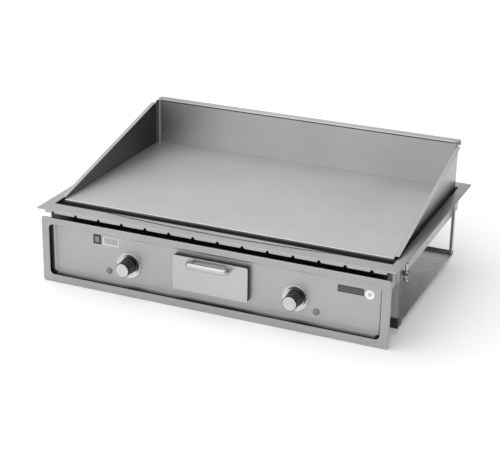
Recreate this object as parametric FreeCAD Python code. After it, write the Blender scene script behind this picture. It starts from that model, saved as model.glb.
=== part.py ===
"""Drop-in electric flat top griddle, two heat zones, for a restaurant counter.

Millimetres, +X to the operator's right, +Y to the back, +Z up. The shapes are drawn with
Y measured from the flange's front edge and Z from the lowest edge of the front trim, and
write() then moves them so that the origin is under the middle of the whole box.
"""
import FreeCAD, Part
import math
import os

V = FreeCAD.Vector
near = 0.01          # how close an edge must lie to a plane to be picked
through_cut = 10.0   # long enough to pass through any sheet

# ---- counter flange -------------------------------------------------------------------
flange_width = 914.0
flange_depth = 626.0
flange_top = 189.0
flange_gauge = 2.0
flange_corner = 5.0
side_margin = 25.0
front_margin = 44.0
rear_margin = 35.0
lip_drop = 7.5
lip_side_gap = 24.0
nose_radius = 1.8
notch_pitch = 62.2
notch_shift = -6.0
notch_root = 4.5
notch_tip = 1.0
notch_height = 5.0

# ---- heater box and what it holds -----------------------------------------------------
box_gauge = 1.5
heating_depth = 41.0
plate_thickness = 19.0
plate_side_gap = 9.0
plate_rear_gap = 6.0
plate_edge_bevel = 1.5
trough_width = 35.0
trough_depth = 44.0
trough_gauge = 1.2
trough_lip_reach = 16.0
trough_lip_gauge = 0.8
trough_lip_half = 290.0
trough_side_gap = 1.0
trough_rear_drop = 5.0
chute_half = 18.0
chute_inset = 6.0
chute_over_drawer = 3.0
rail_leg = 20.0
rail_end_gap = 8.0
insulation_thickness = 18.0
insulation_gap = 2.0
element_radius = 4.0
element_bend = 26.0
element_rear_gap = 121.0
element_passes = 6
element_inner = 50.0
element_centre_leg = 14.0
element_first = 40.0
element_outer_gap = 30.0
element_tail = 60.0
element_drop = 14.0
bead_wall = 3.0
bead_collar = 6.0
bead_length = 5.0
clamp_bar_width = 20.0
clamp_bar_gauge = 3.0
clamp_bar_inner = 130.0
clamp_bar_outer_gap = 103.0
clamp_bar_overrun = 20.0
stud_radius = 4.0
nut_flats = 13.0
nut_height = 6.5
stud_past_nut = 1.5

# ---- splash guard ---------------------------------------------------------------------
splash_gauge = 1.5
splash_height = 122.0
splash_tip_height = 4.0
splash_tip_setback = 4.0
splash_hem = 10.0
splash_notch = 16.0
splash_bend = 8.0
splash_return = 16.0
splash_top_depth = 25.0
splash_top_lip = 16.0
rivet_radius = 1.6
rivet_head_radius = 3.2
rivet_head_top = 1.76
rivet_head_height = 1.2
rivet_from_edge = 5.0
rivet_heights = (20.0, 88.0)
splash_peak_drop = 3.0

# ---- front trim and control panel -----------------------------------------------------
vent_gap = 13.0
trim_side_gap = 12.5
trim_gauge = 1.5
trim_margin = 20.5
trim_corner = 5.0
trim_return = 6.0
recess_depth = 15.0
recess_radius = 11.0
recess_top_rise = 4.0
recess_fillet_less = 0.5
panel_gauge = 1.2
control_box_inset = 1.0
knob_x = 214.0
knob_drop = 113.0
lamp_x = 267.0
lamp_drop = 137.0

# ---- body under the flange ------------------------------------------------------------
body_side_gap = 15.0
wall_y = 73.0
body_gauge = 1.5
wall_return = 12.0
ear_gap = 0.5
pan_rear_gap = 80.0
pan_z = 21.0
pan_side_lip = 5.0
pan_rear_lip = 11.0
strap_front_leg = 6.0
strap_side_leg = 12.0
gusset_height = 25.0
gusset_length = 28.0
gusset_inward = 24.0
gusset_toe = 5.0
gusset_heel = 4.0

# ---- knobs, dials, thermostats, lamps -------------------------------------------------
dial_radius = 33.0
dial_rim = 4.5
dial_floor = 1.5
dial_cone = 6.0
dial_crest = 3.0
dial_edge_bevel = 1.0
knob_radius = 19.5
knob_face_radius = 18.0
knob_reach = 35.0
knob_lift = 2.5
knob_flutes = 12
knob_flute_radius = 4.0
knob_flute_depth = 0.9
knob_skirt = 4.0
knob_step = 1.2
knob_nose_bevel = 1.5
knob_wall_over_shaft = 8.0
shaft_hole_gap = 2.5
insert_radius = 16.6
insert_depth = 1.2
insert_proud = 0.4
shaft_radius = 3.0
shaft_clearance = 0.08
shaft_flat = 0.6
shaft_inside = 22.1
shaft_bore_depth = 29.0
thermostat_size = 42.0
thermostat_depth = 34.0
thermostat_corner = 4.0
thermostat_neck = 2.0
thermostat_neck_length = 1.0
bulb_radius = 4.0
bulb_length = 105.0
bulb_side = 30.0
bulb_pass_share = 0.257
capillary_radius = 1.2
capillary_hole_gap = 2.0
capillary_bend = 5.0
capillary_rise = 8.0
capillary_step = 12.0
capillary_end = 14.0
lamp_radius = 8.0
lamp_rim = 2.0
lamp_dome = 5.0
lamp_shoulder = 6.4
lamp_tip = 3.6
lamp_step = 1.0
lamp_barrel_radius = 6.5
lamp_barrel_length = 26.0
lamp_nut_wall = 3.0
lamp_nut_depth = 4.0

# ---- grease drawer --------------------------------------------------------------------
drawer_x = 5.5
front_overlap = 11.0
front_height = 87.0
front_low = 46.0
front_gauge = 1.5
front_corner = 5.0
front_proud = 13.0
front_gap = 1.0
surround_inset = 0.3
surround_wall = 4.0
drawer_width = 170.0
drawer_height = 62.0
drawer_low = 55.0
drawer_rear_gap = 96.0
drawer_gauge = 1.2
drawer_rim = 4.0
drawer_rim_start = 4.0
drawer_clearance = 3.0
runner_gauge = 1.5
runner_ledge = 11.0
runner_foot = 14.0
runner_lift = 0.4
runner_side_gap = 1.0
runner_front_gap = 2.0
runner_rear_gap = 4.0
runner_wall_drop = 8.0
runner_stop = 20.0
handle_span = 98.0
handle_reach = 18.8
handle_radius = 7.7
handle_bend = 10.0
handle_drop = 11.5
handle_screw_radius = 2.0
handle_screw_depth = 9.0
handle_screw_head = 2.4
handle_screw_head_radius = 4.0

# ---- wiring ---------------------------------------------------------------------------
junction_half = 75.0
junction_depth = 85.0
junction_rear_gap = 6.0
junction_height = 60.0
junction_gauge = 1.2
knockout_radius = 14.2
knockout_x = 40.0
bush_wall = 2.4
bush_inside = 8.0
bush_flange = 3.0
terminal_half = 50.0
terminal_depth = 22.0
terminal_height = 14.0
terminal_count = 8
terminal_pitch = 12.5
terminal_front = 18.0
screw_half = 4.0
screw_height = 4.0
loom_radius = 4.0
loom_floor_gap = 4.0
loom_side = 172.0
loom_entry = 30.0
loom_inside = 8.0
loom_bend = 30.0
loom_rise_start = 90.0
loom_rise_end = 39.0
grommet_wall = 1.6
grommet_flange = 2.0
grommet_offset = 12.0
lead_radius = 2.2
lead_hole_gap = 1.2
lead_inside = 12.0

# ---- counter clamps and small plates --------------------------------------------------
clamp_y = 100.0
clamp_width = 26.0
clamp_drop = 48.0
clamp_reach = 18.0
clamp_gauge = 2.0
clamp_top_gap = 6.0
clamp_bolt_radius = 3.0
clamp_bolt_out = 10.0
clamp_bolt_low = 12.0
clamp_bolt_high = 24.0
clamp_bolt_flats = 10.0
clamp_head_height = 4.0
clamp_nut_height = 5.0
clamp_pad_radius = 6.0
clamp_pad_height = 3.0
bracket_width = 8.0
bracket_left_shift = 25.0
bracket_depth = 22.0
bracket_drop = 12.0
bracket_gap = 0.2
badge_gauge = 0.8
badge_corner = 1.0
round_badge_x = 392.0
round_badge_drop = 69.0
round_badge_radius = 11.0
# left edge, right edge, and how far the lower and upper edges lie below the flange
emblem_plate = (-309.0, -288.0, 72.0, 48.0)
rating_plate = (-282.0, -239.0, 71.0, 49.0)
name_plate = (316.0, 378.0, 75.0, 58.0)

# ---- derived places -------------------------------------------------------------------
half_width = flange_width / 2
lip_half = half_width - lip_side_gap
notch_count = int(2 * lip_half / notch_pitch) + 1
trim_half = half_width - trim_side_gap
body_half = half_width - body_side_gap
pan_rear = flange_depth - pan_rear_gap
open_half = half_width - side_margin
open_front = front_margin
open_rear = flange_depth - rear_margin
under_flange = flange_top - flange_gauge
box_floor = flange_top - plate_thickness - heating_depth
floor_top = box_floor + box_gauge
plate_half = open_half - plate_side_gap
plate_front = open_front + trough_width
plate_rear = open_rear - plate_rear_gap
plate_low = flange_top - plate_thickness
trim_top = flange_top - lip_drop - vent_gap
recess_half = trim_half - trim_margin
recess_low = trim_margin
recess_high = trim_top - trim_margin + recess_top_rise
panel_face = recess_depth
panel_back = panel_face + panel_gauge
knob_z = flange_top - knob_drop
lamp_z = flange_top - lamp_drop
pan_top = pan_z + body_gauge
wall_back = wall_y + body_gauge
ear_inner = open_half + box_gauge + ear_gap
drawer_face = panel_face - front_gap - front_proud
drawer_left = drawer_x - drawer_width / 2
drawer_right = drawer_x + drawer_width / 2
drawer_high = drawer_low + drawer_height
front_width = drawer_width + 2 * front_overlap
splash_outer = plate_half + splash_gauge
handle_z = front_low + front_height - handle_drop
handle_front = drawer_face - handle_reach - handle_radius
first_pass = plate_front + element_first
element_pitch = (plate_rear - element_rear_gap - first_pass) / (element_passes - 1)
clamp_bar_x = (clamp_bar_inner, plate_half - clamp_bar_outer_gap)
junction_rear = pan_rear - junction_rear_gap
junction_front = junction_rear - junction_depth
drawer_back = junction_front - drawer_rear_gap
shaft_hole = shaft_radius + shaft_hole_gap
knob_front = panel_face - knob_reach
junction_middle = pan_top + junction_height / 2
clamp_bolt_x = open_half + box_gauge + clamp_bolt_out
loom_z = pan_top + loom_radius + loom_floor_gap
y_middle = (flange_depth + handle_front) / 2


# ---- drawing helpers ------------------------------------------------------------------
def block(x0, x1, y0, y1, z0, z1):
    """A box from its six faces."""
    return Part.makeBox(x1 - x0, y1 - y0, z1 - z0, V(x0, y0, z0))


def prism(points, along):
    """A closed outline carried along a vector."""
    outline = [V(*p) for p in points]
    return Part.Face(Part.makePolygon(outline + [outline[0]])).extrude(V(*along))


def join(*pieces):
    """One solid made of pieces that touch."""
    whole = pieces[0]
    for piece in pieces[1:]:
        whole = whole.fuse(piece)
    return whole.removeSplitter()


def mirrored(shape):
    """The same shape on the other side of the middle plane."""
    return shape.mirror(V(0, 0, 0), V(1, 0, 0))


def rounded_block(x0, x1, y0, y1, z0, z1, radius, axis):
    """A box whose four edges along one axis are rounded."""
    solid = block(x0, x1, y0, y1, z0, z1)
    edges = [e for e in solid.Edges if abs(abs((e.Vertexes[1].Point - e.Vertexes[0].Point)
             .normalize().dot(axis)) - 1) < 1e-6]
    return solid.makeFillet(radius, edges)


def rod(x, y, z, radius, length, direction):
    """A round bar from a point along a direction."""
    return Part.makeCylinder(radius, length, V(x, y, z), V(*direction))


def tube_along(points, bend, radius):
    """A round bar along straight runs joined by tangent arcs of one bend radius."""
    stops = [V(*p) for p in points]
    edges = []
    start = stops[0]
    for before, corner, after in zip(stops, stops[1:], stops[2:]):
        into = (corner - before).normalize()
        away = (after - corner).normalize()
        half_turn = into.getAngle(away) / 2
        setback = bend * math.tan(half_turn)
        first = corner - into * setback
        last = corner + away * setback
        inward = (away - into).normalize()
        centre = corner + inward * (bend / math.cos(half_turn))
        middle = centre - inward * bend
        edges.append(Part.makeLine(start, first))
        edges.append(Part.Arc(first, middle, last).toShape())
        start = last
    edges.append(Part.makeLine(start, stops[-1]))
    spine = Part.Wire(edges)
    heading = (stops[1] - stops[0]).normalize()
    ring = Part.Wire([Part.makeCircle(radius, stops[0], heading)])
    return spine.makePipeShell([ring], True, False)


def hexagon(x, y, z, flats, height):
    """A hexagonal nut or bolt head standing on its lower face."""
    reach = flats / math.sqrt(3)
    turns = [math.radians(60 * k) for k in range(6)]
    points = [(x + reach * math.cos(a), y + reach * math.sin(a), z) for a in turns]
    return prism(points, (0, 0, height))


def spin_front(profile, x, z):
    """A profile of (radius, y) pairs turned about an axis that runs front to back."""
    points = [V(x + r, y, z) for r, y in profile]
    face = Part.Face(Part.makePolygon(points + [points[0]]))
    return face.revolve(V(x, 0, z), V(0, 1, 0), 360)


# ---- counter flange and heater box ----------------------------------------------------
def make_top_flange():
    top = rounded_block(-half_width, half_width, 0, flange_depth, under_flange, flange_top,
                        flange_corner, V(0, 0, 1))
    lip = block(-lip_half, lip_half, 0, flange_gauge, flange_top - lip_drop, under_flange)
    opening = block(-open_half, open_half, open_front, open_rear, 0, flange_top + 1)
    sheet = join(top.cut(opening), lip)
    nose = [e for e in sheet.Edges if e.BoundBox.YMax < near
            and abs(e.BoundBox.ZMin - flange_top) < near and e.BoundBox.XLength > lip_half]
    sheet = sheet.makeFillet(nose_radius, nose)
    for k in range(notch_count):
        x = (k - (notch_count - 1) / 2) * notch_pitch + notch_shift
        low = flange_top - lip_drop
        notch = prism([(x - notch_root, -1, low - 1), (x + notch_root, -1, low - 1),
                       (x + notch_tip, -1, low + notch_height),
                       (x - notch_tip, -1, low + notch_height)], (0, flange_gauge + 2, 0))
        sheet = sheet.cut(notch)
    return sheet


def element_ends():
    """Where the two tails of each heating element go down through the box floor."""
    tail_y = first_pass + (element_passes - 1) * element_pitch + element_tail
    return tail_y, [(element_centre_leg, tail_y), (element_inner, tail_y)]


def bulb_place(side):
    """Start of a thermostat's sensing bulb, between the first two element passes."""
    return side * (knob_x + bulb_side), first_pass + element_pitch * bulb_pass_share


def make_heater_box():
    """Open box under the plate; in front of its inner wall it has no floor, for the chute."""
    outer = block(-open_half - box_gauge, open_half + box_gauge, open_front - box_gauge,
                  open_rear + box_gauge, box_floor, under_flange)
    inner = block(-open_half, open_half, open_front, open_rear, floor_top, flange_top)
    box = outer.cut(inner)
    for side in (-1, 1):
        for x, y in element_ends()[1]:
            box = box.cut(rod(side * x, y, box_floor - 1, element_radius + bead_wall,
                              through_cut, (0, 0, 1)))
        x, y = bulb_place(side)
        box = box.cut(rod(x, y, box_floor - 1, capillary_radius + capillary_hole_gap,
                          through_cut, (0, 0, 1)))
    inner_front = plate_front - box_gauge
    box = box.cut(block(-open_half, open_half, open_front, inner_front, box_floor - 1,
                        floor_top + 1))
    return join(box, block(-open_half, open_half, inner_front, plate_front, box_floor,
                           flange_top - trough_depth))


def make_support_rail():
    """Angle inside the box's right wall that carries the plate's edge."""
    length = (plate_front + rail_end_gap, plate_rear - rail_end_gap)
    upright = block(open_half - box_gauge, open_half, *length, plate_low - rail_leg, plate_low)
    ledge = block(open_half - box_gauge - rail_leg, open_half, *length,
                  plate_low - box_gauge, plate_low)
    return join(upright, ledge)


def make_griddle_plate():
    plate = block(-plate_half, plate_half, plate_front, plate_rear, plate_low, flange_top)
    edge = [e for e in plate.Edges if abs(e.BoundBox.ZMin - flange_top) < near
            and e.BoundBox.YMax < plate_front + near]
    return plate.makeChamfer(plate_edge_bevel, edge)


def make_trough():
    """Grease channel with a bowed lip that lies on the flange, and a chute to the drawer."""
    half = open_half - trough_side_gap
    low = flange_top - trough_depth
    front = open_front
    rear = plate_front
    high = flange_top - trough_rear_drop
    outer = block(-half, half, front, rear, low, flange_top)
    inner = block(-half + trough_gauge, half - trough_gauge, front + trough_gauge,
                  rear - trough_gauge, low + trough_gauge, flange_top + 1)
    trough = outer.cut(inner)
    trough = trough.cut(block(-half - 1, half + 1, rear - trough_gauge - 1, rear + 1,
                              high, flange_top + 1))
    seat = front + trough_gauge
    arc = Part.Arc(V(-trough_lip_half, seat, flange_top),
                   V(0, front - trough_lip_reach, flange_top),
                   V(trough_lip_half, seat, flange_top)).toShape()
    chord = Part.makeLine(V(trough_lip_half, seat, flange_top),
                          V(-trough_lip_half, seat, flange_top))
    lip = Part.Face(Part.Wire([arc, chord])).extrude(V(0, 0, trough_lip_gauge))
    x0, x1 = drawer_x - chute_half, drawer_x + chute_half
    y0, y1 = front + chute_inset, rear - chute_inset
    low_end = drawer_high + chute_over_drawer
    chute = block(x0, x1, y0, y1, low_end, low)
    throat = block(x0 + trough_gauge, x1 - trough_gauge, y0 + trough_gauge, y1 - trough_gauge,
                   low_end - 1, low + trough_gauge + 1)
    return join(trough, lip, chute).cut(throat)


def make_insulation():
    """Mineral wool board under the elements."""
    half = open_half - insulation_gap
    wool = block(-half, half, plate_front + insulation_gap, open_rear - insulation_gap,
                 floor_top, floor_top + insulation_thickness)
    for side in (-1, 1):
        for x, y in element_ends()[1]:
            wool = wool.cut(rod(side * x, y, floor_top - 1, element_radius + bead_wall,
                                insulation_thickness + 2, (0, 0, 1)))
        x, y = bulb_place(side)
        wool = wool.cut(rod(x, y, floor_top - 1, capillary_radius + capillary_hole_gap,
                            insulation_thickness + 2, (0, 0, 1)))
    return wool


def element_path():
    """Corner points of the right heating element, from tail to tail."""
    z = plate_low - element_radius
    tail_y, tails = element_ends()
    outer = plate_half - element_outer_gap
    down = box_floor - element_drop
    points = [(element_centre_leg, tail_y, down), (element_centre_leg, tail_y, z)]
    for k in range(element_passes):
        y = first_pass + k * element_pitch
        start = element_centre_leg if k == 0 else element_inner
        ends = (start, outer) if k % 2 == 0 else (outer, element_inner)
        points += [(ends[0], y, z), (ends[1], y, z)]
    points += [(element_inner, tail_y, z), (element_inner, tail_y, down)]
    return points


def make_element():
    """Tubular heating element: passes side to side under one half of the plate."""
    return tube_along(element_path(), element_bend, element_radius)


def stud_places():
    """Y of the plate's welded studs along each clamp bar."""
    return [first_pass + element_pitch * (k + 0.5) for k in range(0, element_passes, 2)]


def make_clamp_bars():
    """Flat bars across the right element's passes, drilled for the studs."""
    top = plate_low - 2 * element_radius
    bars = []
    for x in clamp_bar_x:
        bar = block(x - clamp_bar_width / 2, x + clamp_bar_width / 2,
                    first_pass - clamp_bar_overrun,
                    first_pass + element_pitch * (element_passes - 1) + clamp_bar_overrun,
                    top - clamp_bar_gauge, top)
        for y in stud_places():
            bar = bar.cut(rod(x, y, 0, stud_radius, flange_top, (0, 0, 1)))
        bars.append(bar)
    return Part.makeCompound(bars)


def make_studs():
    """Studs welded under the plate, both zones."""
    low = plate_low - 2 * element_radius - clamp_bar_gauge - nut_height - stud_past_nut
    return Part.makeCompound([rod(side * x, y, low, stud_radius, plate_low - low, (0, 0, 1))
                              for side in (-1, 1) for x in clamp_bar_x
                              for y in stud_places()])


def make_stud_nuts():
    low = plate_low - 2 * element_radius - clamp_bar_gauge - nut_height
    nuts = []
    for side in (-1, 1):
        for x in clamp_bar_x:
            for y in stud_places():
                nut = hexagon(side * x, y, low, nut_flats, nut_height)
                nuts.append(nut.cut(rod(side * x, y, 0, stud_radius, flange_top, (0, 0, 1))))
    return Part.makeCompound(nuts)


def make_terminal_bushes():
    """Ceramic beads that line the floor holes round the element tails."""
    beads = []
    for side in (-1, 1):
        for x, y in element_ends()[1]:
            low = box_floor - bead_length
            bead = join(rod(side * x, y, low, element_radius + bead_wall,
                            bead_length + box_gauge, (0, 0, 1)),
                        rod(side * x, y, low, element_radius + bead_collar, bead_length,
                            (0, 0, 1)))
            beads.append(bead.cut(rod(side * x, y, 0, element_radius, flange_top, (0, 0, 1))))
    return Part.makeCompound(beads)


# ---- splash guard ---------------------------------------------------------------------
def rivet_places():
    """(y, z) of the rivets through a side sheet and the back sheet's return."""
    y = plate_rear - splash_return + rivet_from_edge
    return [(y, flange_top + height) for height in rivet_heights]


def rivet_shank(side, y, z):
    inner = plate_half - splash_gauge
    return rod(side * inner, y, z, rivet_radius, 2 * splash_gauge, (side, 0, 0))


def make_splash_side():
    """Right side sheet: a long triangle with a hem folded outward along its slope."""
    y0 = plate_front + splash_tip_setback
    y1 = plate_rear
    tip = flange_top + splash_tip_height
    high = flange_top + splash_height - splash_peak_drop
    slope = (high - tip) / (y1 - y0)
    profile = [(plate_half, y0, plate_low), (plate_half, y1, plate_low),
               (plate_half, y1, high), (plate_half, y0, tip)]
    sheet = prism(profile, (splash_gauge, 0, 0))
    hem_end = y1 - splash_notch
    hem_high = tip + slope * (hem_end - y0)
    hem = prism([(splash_outer, y0, tip), (splash_outer, hem_end, hem_high),
                 (splash_outer, hem_end, hem_high - splash_gauge),
                 (splash_outer, y0, tip - splash_gauge)], (splash_hem, 0, 0))
    side = join(sheet, hem)
    for y, z in rivet_places():
        side = side.cut(rivet_shank(1, y, z))
    return side


def make_splash_back():
    """Back sheet: ends bent forward inside the side sheets, top folded back and down."""
    high = flange_top + splash_height
    y0 = plate_rear - splash_return
    outer = rounded_block(-plate_half, plate_half, y0 - 2 * splash_bend, plate_rear,
                          flange_top, high, splash_bend, V(0, 0, 1))
    g = splash_gauge
    inner = rounded_block(-plate_half + g, plate_half - g, y0 - 2 * splash_bend - 2,
                          plate_rear - g, flange_top - 1, high + 1, splash_bend - g,
                          V(0, 0, 1))
    front = block(-half_width, half_width, -1, y0, 0, high + 2)
    sheet = outer.cut(inner).cut(front)
    top = block(-splash_outer, splash_outer, plate_rear, plate_rear + splash_top_depth,
                high - g, high)
    back = plate_rear + splash_top_depth
    lip = block(-splash_outer, splash_outer, back - g, back, high - splash_top_lip, high - g)
    seam = block(-plate_half + splash_bend, plate_half - splash_bend, plate_rear - g,
                 plate_rear, high - g, high)
    sheet = join(sheet, seam, top, lip)
    for side in (-1, 1):
        for y, z in rivet_places():
            sheet = sheet.cut(rivet_shank(side, y, z))
    return sheet


def make_splash_rivets():
    rivets = []
    for side in (-1, 1):
        for y, z in rivet_places():
            head = Part.makeCone(rivet_head_radius, rivet_head_top, rivet_head_height,
                                 V(side * splash_outer, y, z), V(side, 0, 0))
            rivets.append(join(rivet_shank(side, y, z), head))
    return Part.makeCompound(rivets)


# ---- front trim, control panel and control box ----------------------------------------
def make_front_trim():
    """Flat frame round the control panel, its outer edges folded back."""
    face = rounded_block(-trim_half, trim_half, 0, trim_gauge, 0, trim_top, trim_corner,
                         V(0, 1, 0))
    g = trim_gauge
    skirt = rounded_block(-trim_half, trim_half, 0, trim_return, 0, trim_top, trim_corner,
                          V(0, 1, 0))
    hollow = rounded_block(-trim_half + g, trim_half - g, -1, trim_return + 1, g, trim_top - g,
                           trim_corner - g, V(0, 1, 0))
    frame = join(face, skirt.cut(hollow))
    opening = rounded_block(-recess_half, recess_half, -1, trim_return + 1, recess_low,
                            recess_high, recess_radius, V(0, 1, 0))
    return frame.cut(opening)


def dish(grow, front, back):
    """Solid of the panel's recess, its rear edges and corners rounded, grown by a wall."""
    radius = recess_radius + grow
    solid = rounded_block(-recess_half - grow, recess_half + grow, front, back,
                          recess_low - grow, recess_high + grow, radius, V(0, 1, 0))
    rim = [e for e in solid.Edges if abs(e.BoundBox.YMin - back) < near
           and abs(e.BoundBox.YMax - back) < near]
    return solid.makeFillet(radius - recess_fillet_less, rim)


def drawer_opening(y0, y1):
    """The cut that the drawer slides through, with its clearance all round."""
    c = drawer_clearance
    return block(drawer_left - drawer_rim - c, drawer_right + drawer_rim + c, y0, y1,
                 drawer_low - c, drawer_high + c)


def make_control_panel():
    """Recessed pressed panel with holes for the shafts, the lamps and the drawer."""
    panel = dish(panel_gauge, trim_gauge, panel_back).cut(dish(0, trim_gauge - 1, panel_face))
    for side in (-1, 1):
        panel = panel.cut(rod(side * knob_x, 0, knob_z, shaft_hole, panel_back + 1, (0, 1, 0)))
        panel = panel.cut(rod(side * lamp_x, 0, lamp_z, lamp_barrel_radius, panel_back + 1,
                              (0, 1, 0)))
    return panel.cut(drawer_opening(0, panel_back + 1))


def make_control_box():
    """Top, bottom and end sheets that close the space behind the panel."""
    inset = recess_radius + control_box_inset
    half = recess_half - inset
    low = recess_low + inset
    high = recess_high - inset
    g = panel_gauge
    step = open_front - box_gauge
    profile = [(-half, panel_back, low), (-half, wall_y, low), (-half, wall_y, box_floor),
               (-half, step, box_floor), (-half, step, high),
               (-half, panel_back, high)]
    solid = prism(profile, (2 * half, 0, 0))
    core = prism([(-half + g, panel_back - 1, low + g), (-half + g, wall_y + 1, low + g),
                  (-half + g, wall_y + 1, box_floor + 1), (-half + g, step + 1, box_floor + 1),
                  (-half + g, step + 1, high - g), (-half + g, panel_back - 1, high - g)],
                 (2 * (half - g), 0, 0))
    return solid.cut(core)


# ---- body under the flange ------------------------------------------------------------
def grommet_place(side):
    """Hole in the body's front wall for a thermostat's loom."""
    return side * (knob_x + grommet_offset), knob_z - grommet_offset


def make_body_wall():
    """Front wall behind the controls, with ears up to the flange and edges turned back."""
    g = body_gauge
    wall = block(-body_half, body_half, wall_y, wall_back, pan_z, under_flange)
    middle = block(-ear_inner, ear_inner, wall_y - 1, wall_back + 1, box_floor, flange_top)
    wall = wall.cut(middle)
    for side in (-1, 1):
        x0, x1 = sorted((side * (body_half - g), side * body_half))
        edge = block(x0, x1, wall_back, wall_back + wall_return, pan_top, under_flange)
        t0, t1 = sorted((side * ear_inner, side * (body_half - g)))
        tab = block(t0, t1, wall_back, wall_back + wall_return, under_flange - g, under_flange)
        wall = join(wall, edge, tab)
        x, z = grommet_place(side)
        wall = wall.cut(rod(x, wall_y - 1, z, loom_radius + grommet_wall, through_cut,
                            (0, 1, 0)))
        x = bulb_place(side)[0]
        wall = wall.cut(rod(x, wall_y - 1, knob_z + capillary_rise,
                            capillary_radius + capillary_hole_gap, through_cut, (0, 1, 0)))
    return wall.cut(drawer_opening(wall_y - 1, wall_back + 1))


def make_bottom_pan():
    """Floor tray with low turned-up sides and a taller lip along the back."""
    g = body_gauge
    floor = block(-body_half, body_half, wall_back, pan_rear, pan_z, pan_top)
    rear = block(-body_half, body_half, pan_rear - g, pan_rear, pan_top, pan_z + pan_rear_lip)
    pan = join(floor, rear)
    for side in (-1, 1):
        x0, x1 = sorted((side * (body_half - g), side * body_half))
        lip = block(x0, x1, wall_back + wall_return, pan_rear - g, pan_top,
                    pan_z + pan_side_lip)
        pan = join(pan, lip)
    return pan


def make_rear_strap():
    """Right rear hanger angle from the flange down to the pan's corner."""
    g = body_gauge
    front_y = pan_rear - g - strap_side_leg
    outer = body_half - g
    side_leg = block(outer - g, outer, front_y, pan_rear - g, pan_top, under_flange)
    front_leg = block(outer - strap_front_leg, outer, front_y, front_y + g, pan_top,
                      under_flange)
    return join(side_leg, front_leg)


def make_corner_gusset():
    """Right lower corner reinforcement, wrapped round the wall and the pan's edge."""
    g = body_gauge
    front = block(body_half - gusset_inward, body_half + g, wall_y - g, wall_y, pan_z,
                  pan_z + gusset_height)
    side = prism([(body_half, wall_y, pan_z), (body_half, wall_y + gusset_length, pan_z),
                  (body_half, wall_y + gusset_length, pan_z + gusset_toe),
                  (body_half, wall_back + gusset_heel, pan_z + gusset_height),
                  (body_half, wall_y, pan_z + gusset_height)], (g, 0, 0))
    return join(front, side)


def make_trim_bracket():
    """Right angle bracket that hangs the front trim from the flange."""
    g = body_gauge
    x0 = lip_half + 1
    x1 = x0 + bracket_width
    over = trim_top + bracket_gap
    rear = trim_return + g
    tab_rear = trim_gauge + bracket_depth
    y0 = flange_gauge + bracket_gap
    upper = block(x0, x1, y0, y0 + g, over, under_flange)
    link = block(x0, x1, y0 + g, rear, over, over + g)
    post = block(x0, x1, trim_return, rear, trim_top - bracket_drop, over)
    tab = block(x0, x1, y0, tab_rear, under_flange - g, under_flange)
    web = prism([(x1 - g, y0, over), (x1 - g, rear, over),
                 (x1 - g, tab_rear, under_flange - g), (x1 - g, y0, under_flange - g)],
                (g, 0, 0))
    return join(upper, link, post, tab, web)


def make_trim_brackets():
    """The right bracket at the corner, and the left one further in."""
    left = mirrored(make_trim_bracket())
    left.translate(V(bracket_left_shift, 0, 0))
    return Part.makeCompound([make_trim_bracket(), left])


# ---- controls -------------------------------------------------------------------------
def make_dial_ring():
    """Polished escutcheon: raised rim, sloped inside, flat where the shaft passes."""
    y = panel_face
    crest = dial_radius - dial_crest
    profile = [(shaft_hole, y), (dial_radius, y), (dial_radius, y - dial_rim + dial_edge_bevel),
               (dial_radius - dial_edge_bevel, y - dial_rim), (crest, y - dial_rim),
               (crest - dial_cone, y - dial_floor), (shaft_hole, y - dial_floor)]
    return spin_front(profile, knob_x, knob_z)


def shaft_solid(x, y0, y1, radius):
    """Shaft with a flat on top over its front part, as the knob's bore has."""
    shaft = rod(x, y0, knob_z, radius, y1 - y0, (0, 1, 0))
    flat = block(x - radius, x + radius, y0 - 1, panel_face - dial_rim,
                 knob_z + radius - shaft_flat, knob_z + radius)
    return shaft.cut(flat)


def make_shaft():
    return shaft_solid(knob_x, knob_front + knob_wall_over_shaft,
                       panel_back + shaft_inside, shaft_radius)


def make_knob():
    """Fluted black knob, hollow at the front for its face disc, bored for the shaft."""
    base = panel_face - dial_floor - knob_lift
    front = knob_front
    waist = base - knob_skirt - knob_step
    profile = [(0, base), (knob_radius, base), (knob_radius, base - knob_skirt),
               (knob_radius - knob_step, waist), (knob_face_radius, front + knob_nose_bevel),
               (knob_face_radius - knob_nose_bevel, front), (0, front)]
    knob = spin_front(profile, knob_x, knob_z)
    ring = knob_face_radius + knob_flute_radius - knob_flute_depth
    for k in range(knob_flutes):
        angle = 2 * math.pi * (k + 0.5) / knob_flutes
        flute = rod(knob_x + ring * math.cos(angle), front - 1, knob_z + ring * math.sin(angle),
                    knob_flute_radius, waist - front, (0, 1, 0))
        knob = knob.cut(flute)
    knob = knob.cut(rod(knob_x, front - 1, knob_z, insert_radius, insert_depth + 1, (0, 1, 0)))
    return knob.cut(shaft_solid(knob_x, front + knob_wall_over_shaft, panel_face,
                                shaft_radius))


def make_knob_insert():
    """Metal disc set into the knob's face."""
    front = knob_front
    profile = [(0, front + insert_depth), (insert_radius, front + insert_depth),
               (insert_radius, front), (insert_radius - insert_proud, front - insert_proud),
               (0, front - insert_proud)]
    return spin_front(profile, knob_x, knob_z)


def make_thermostat():
    """Capillary thermostat body behind the panel, bored for its shaft."""
    half = thermostat_size / 2
    body = rounded_block(knob_x - half, knob_x + half, panel_back, panel_back + thermostat_depth,
                         knob_z - half, knob_z + half, thermostat_corner, V(0, 1, 0))
    neck = rod(knob_x, panel_back - thermostat_neck_length, knob_z,
               shaft_radius + thermostat_neck, 2 * thermostat_neck_length, (0, 1, 0))
    bore = rod(knob_x, panel_back - through_cut, knob_z, shaft_radius + shaft_clearance,
               through_cut + shaft_bore_depth, (0, 1, 0))
    return join(body, neck).cut(bore)


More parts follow.
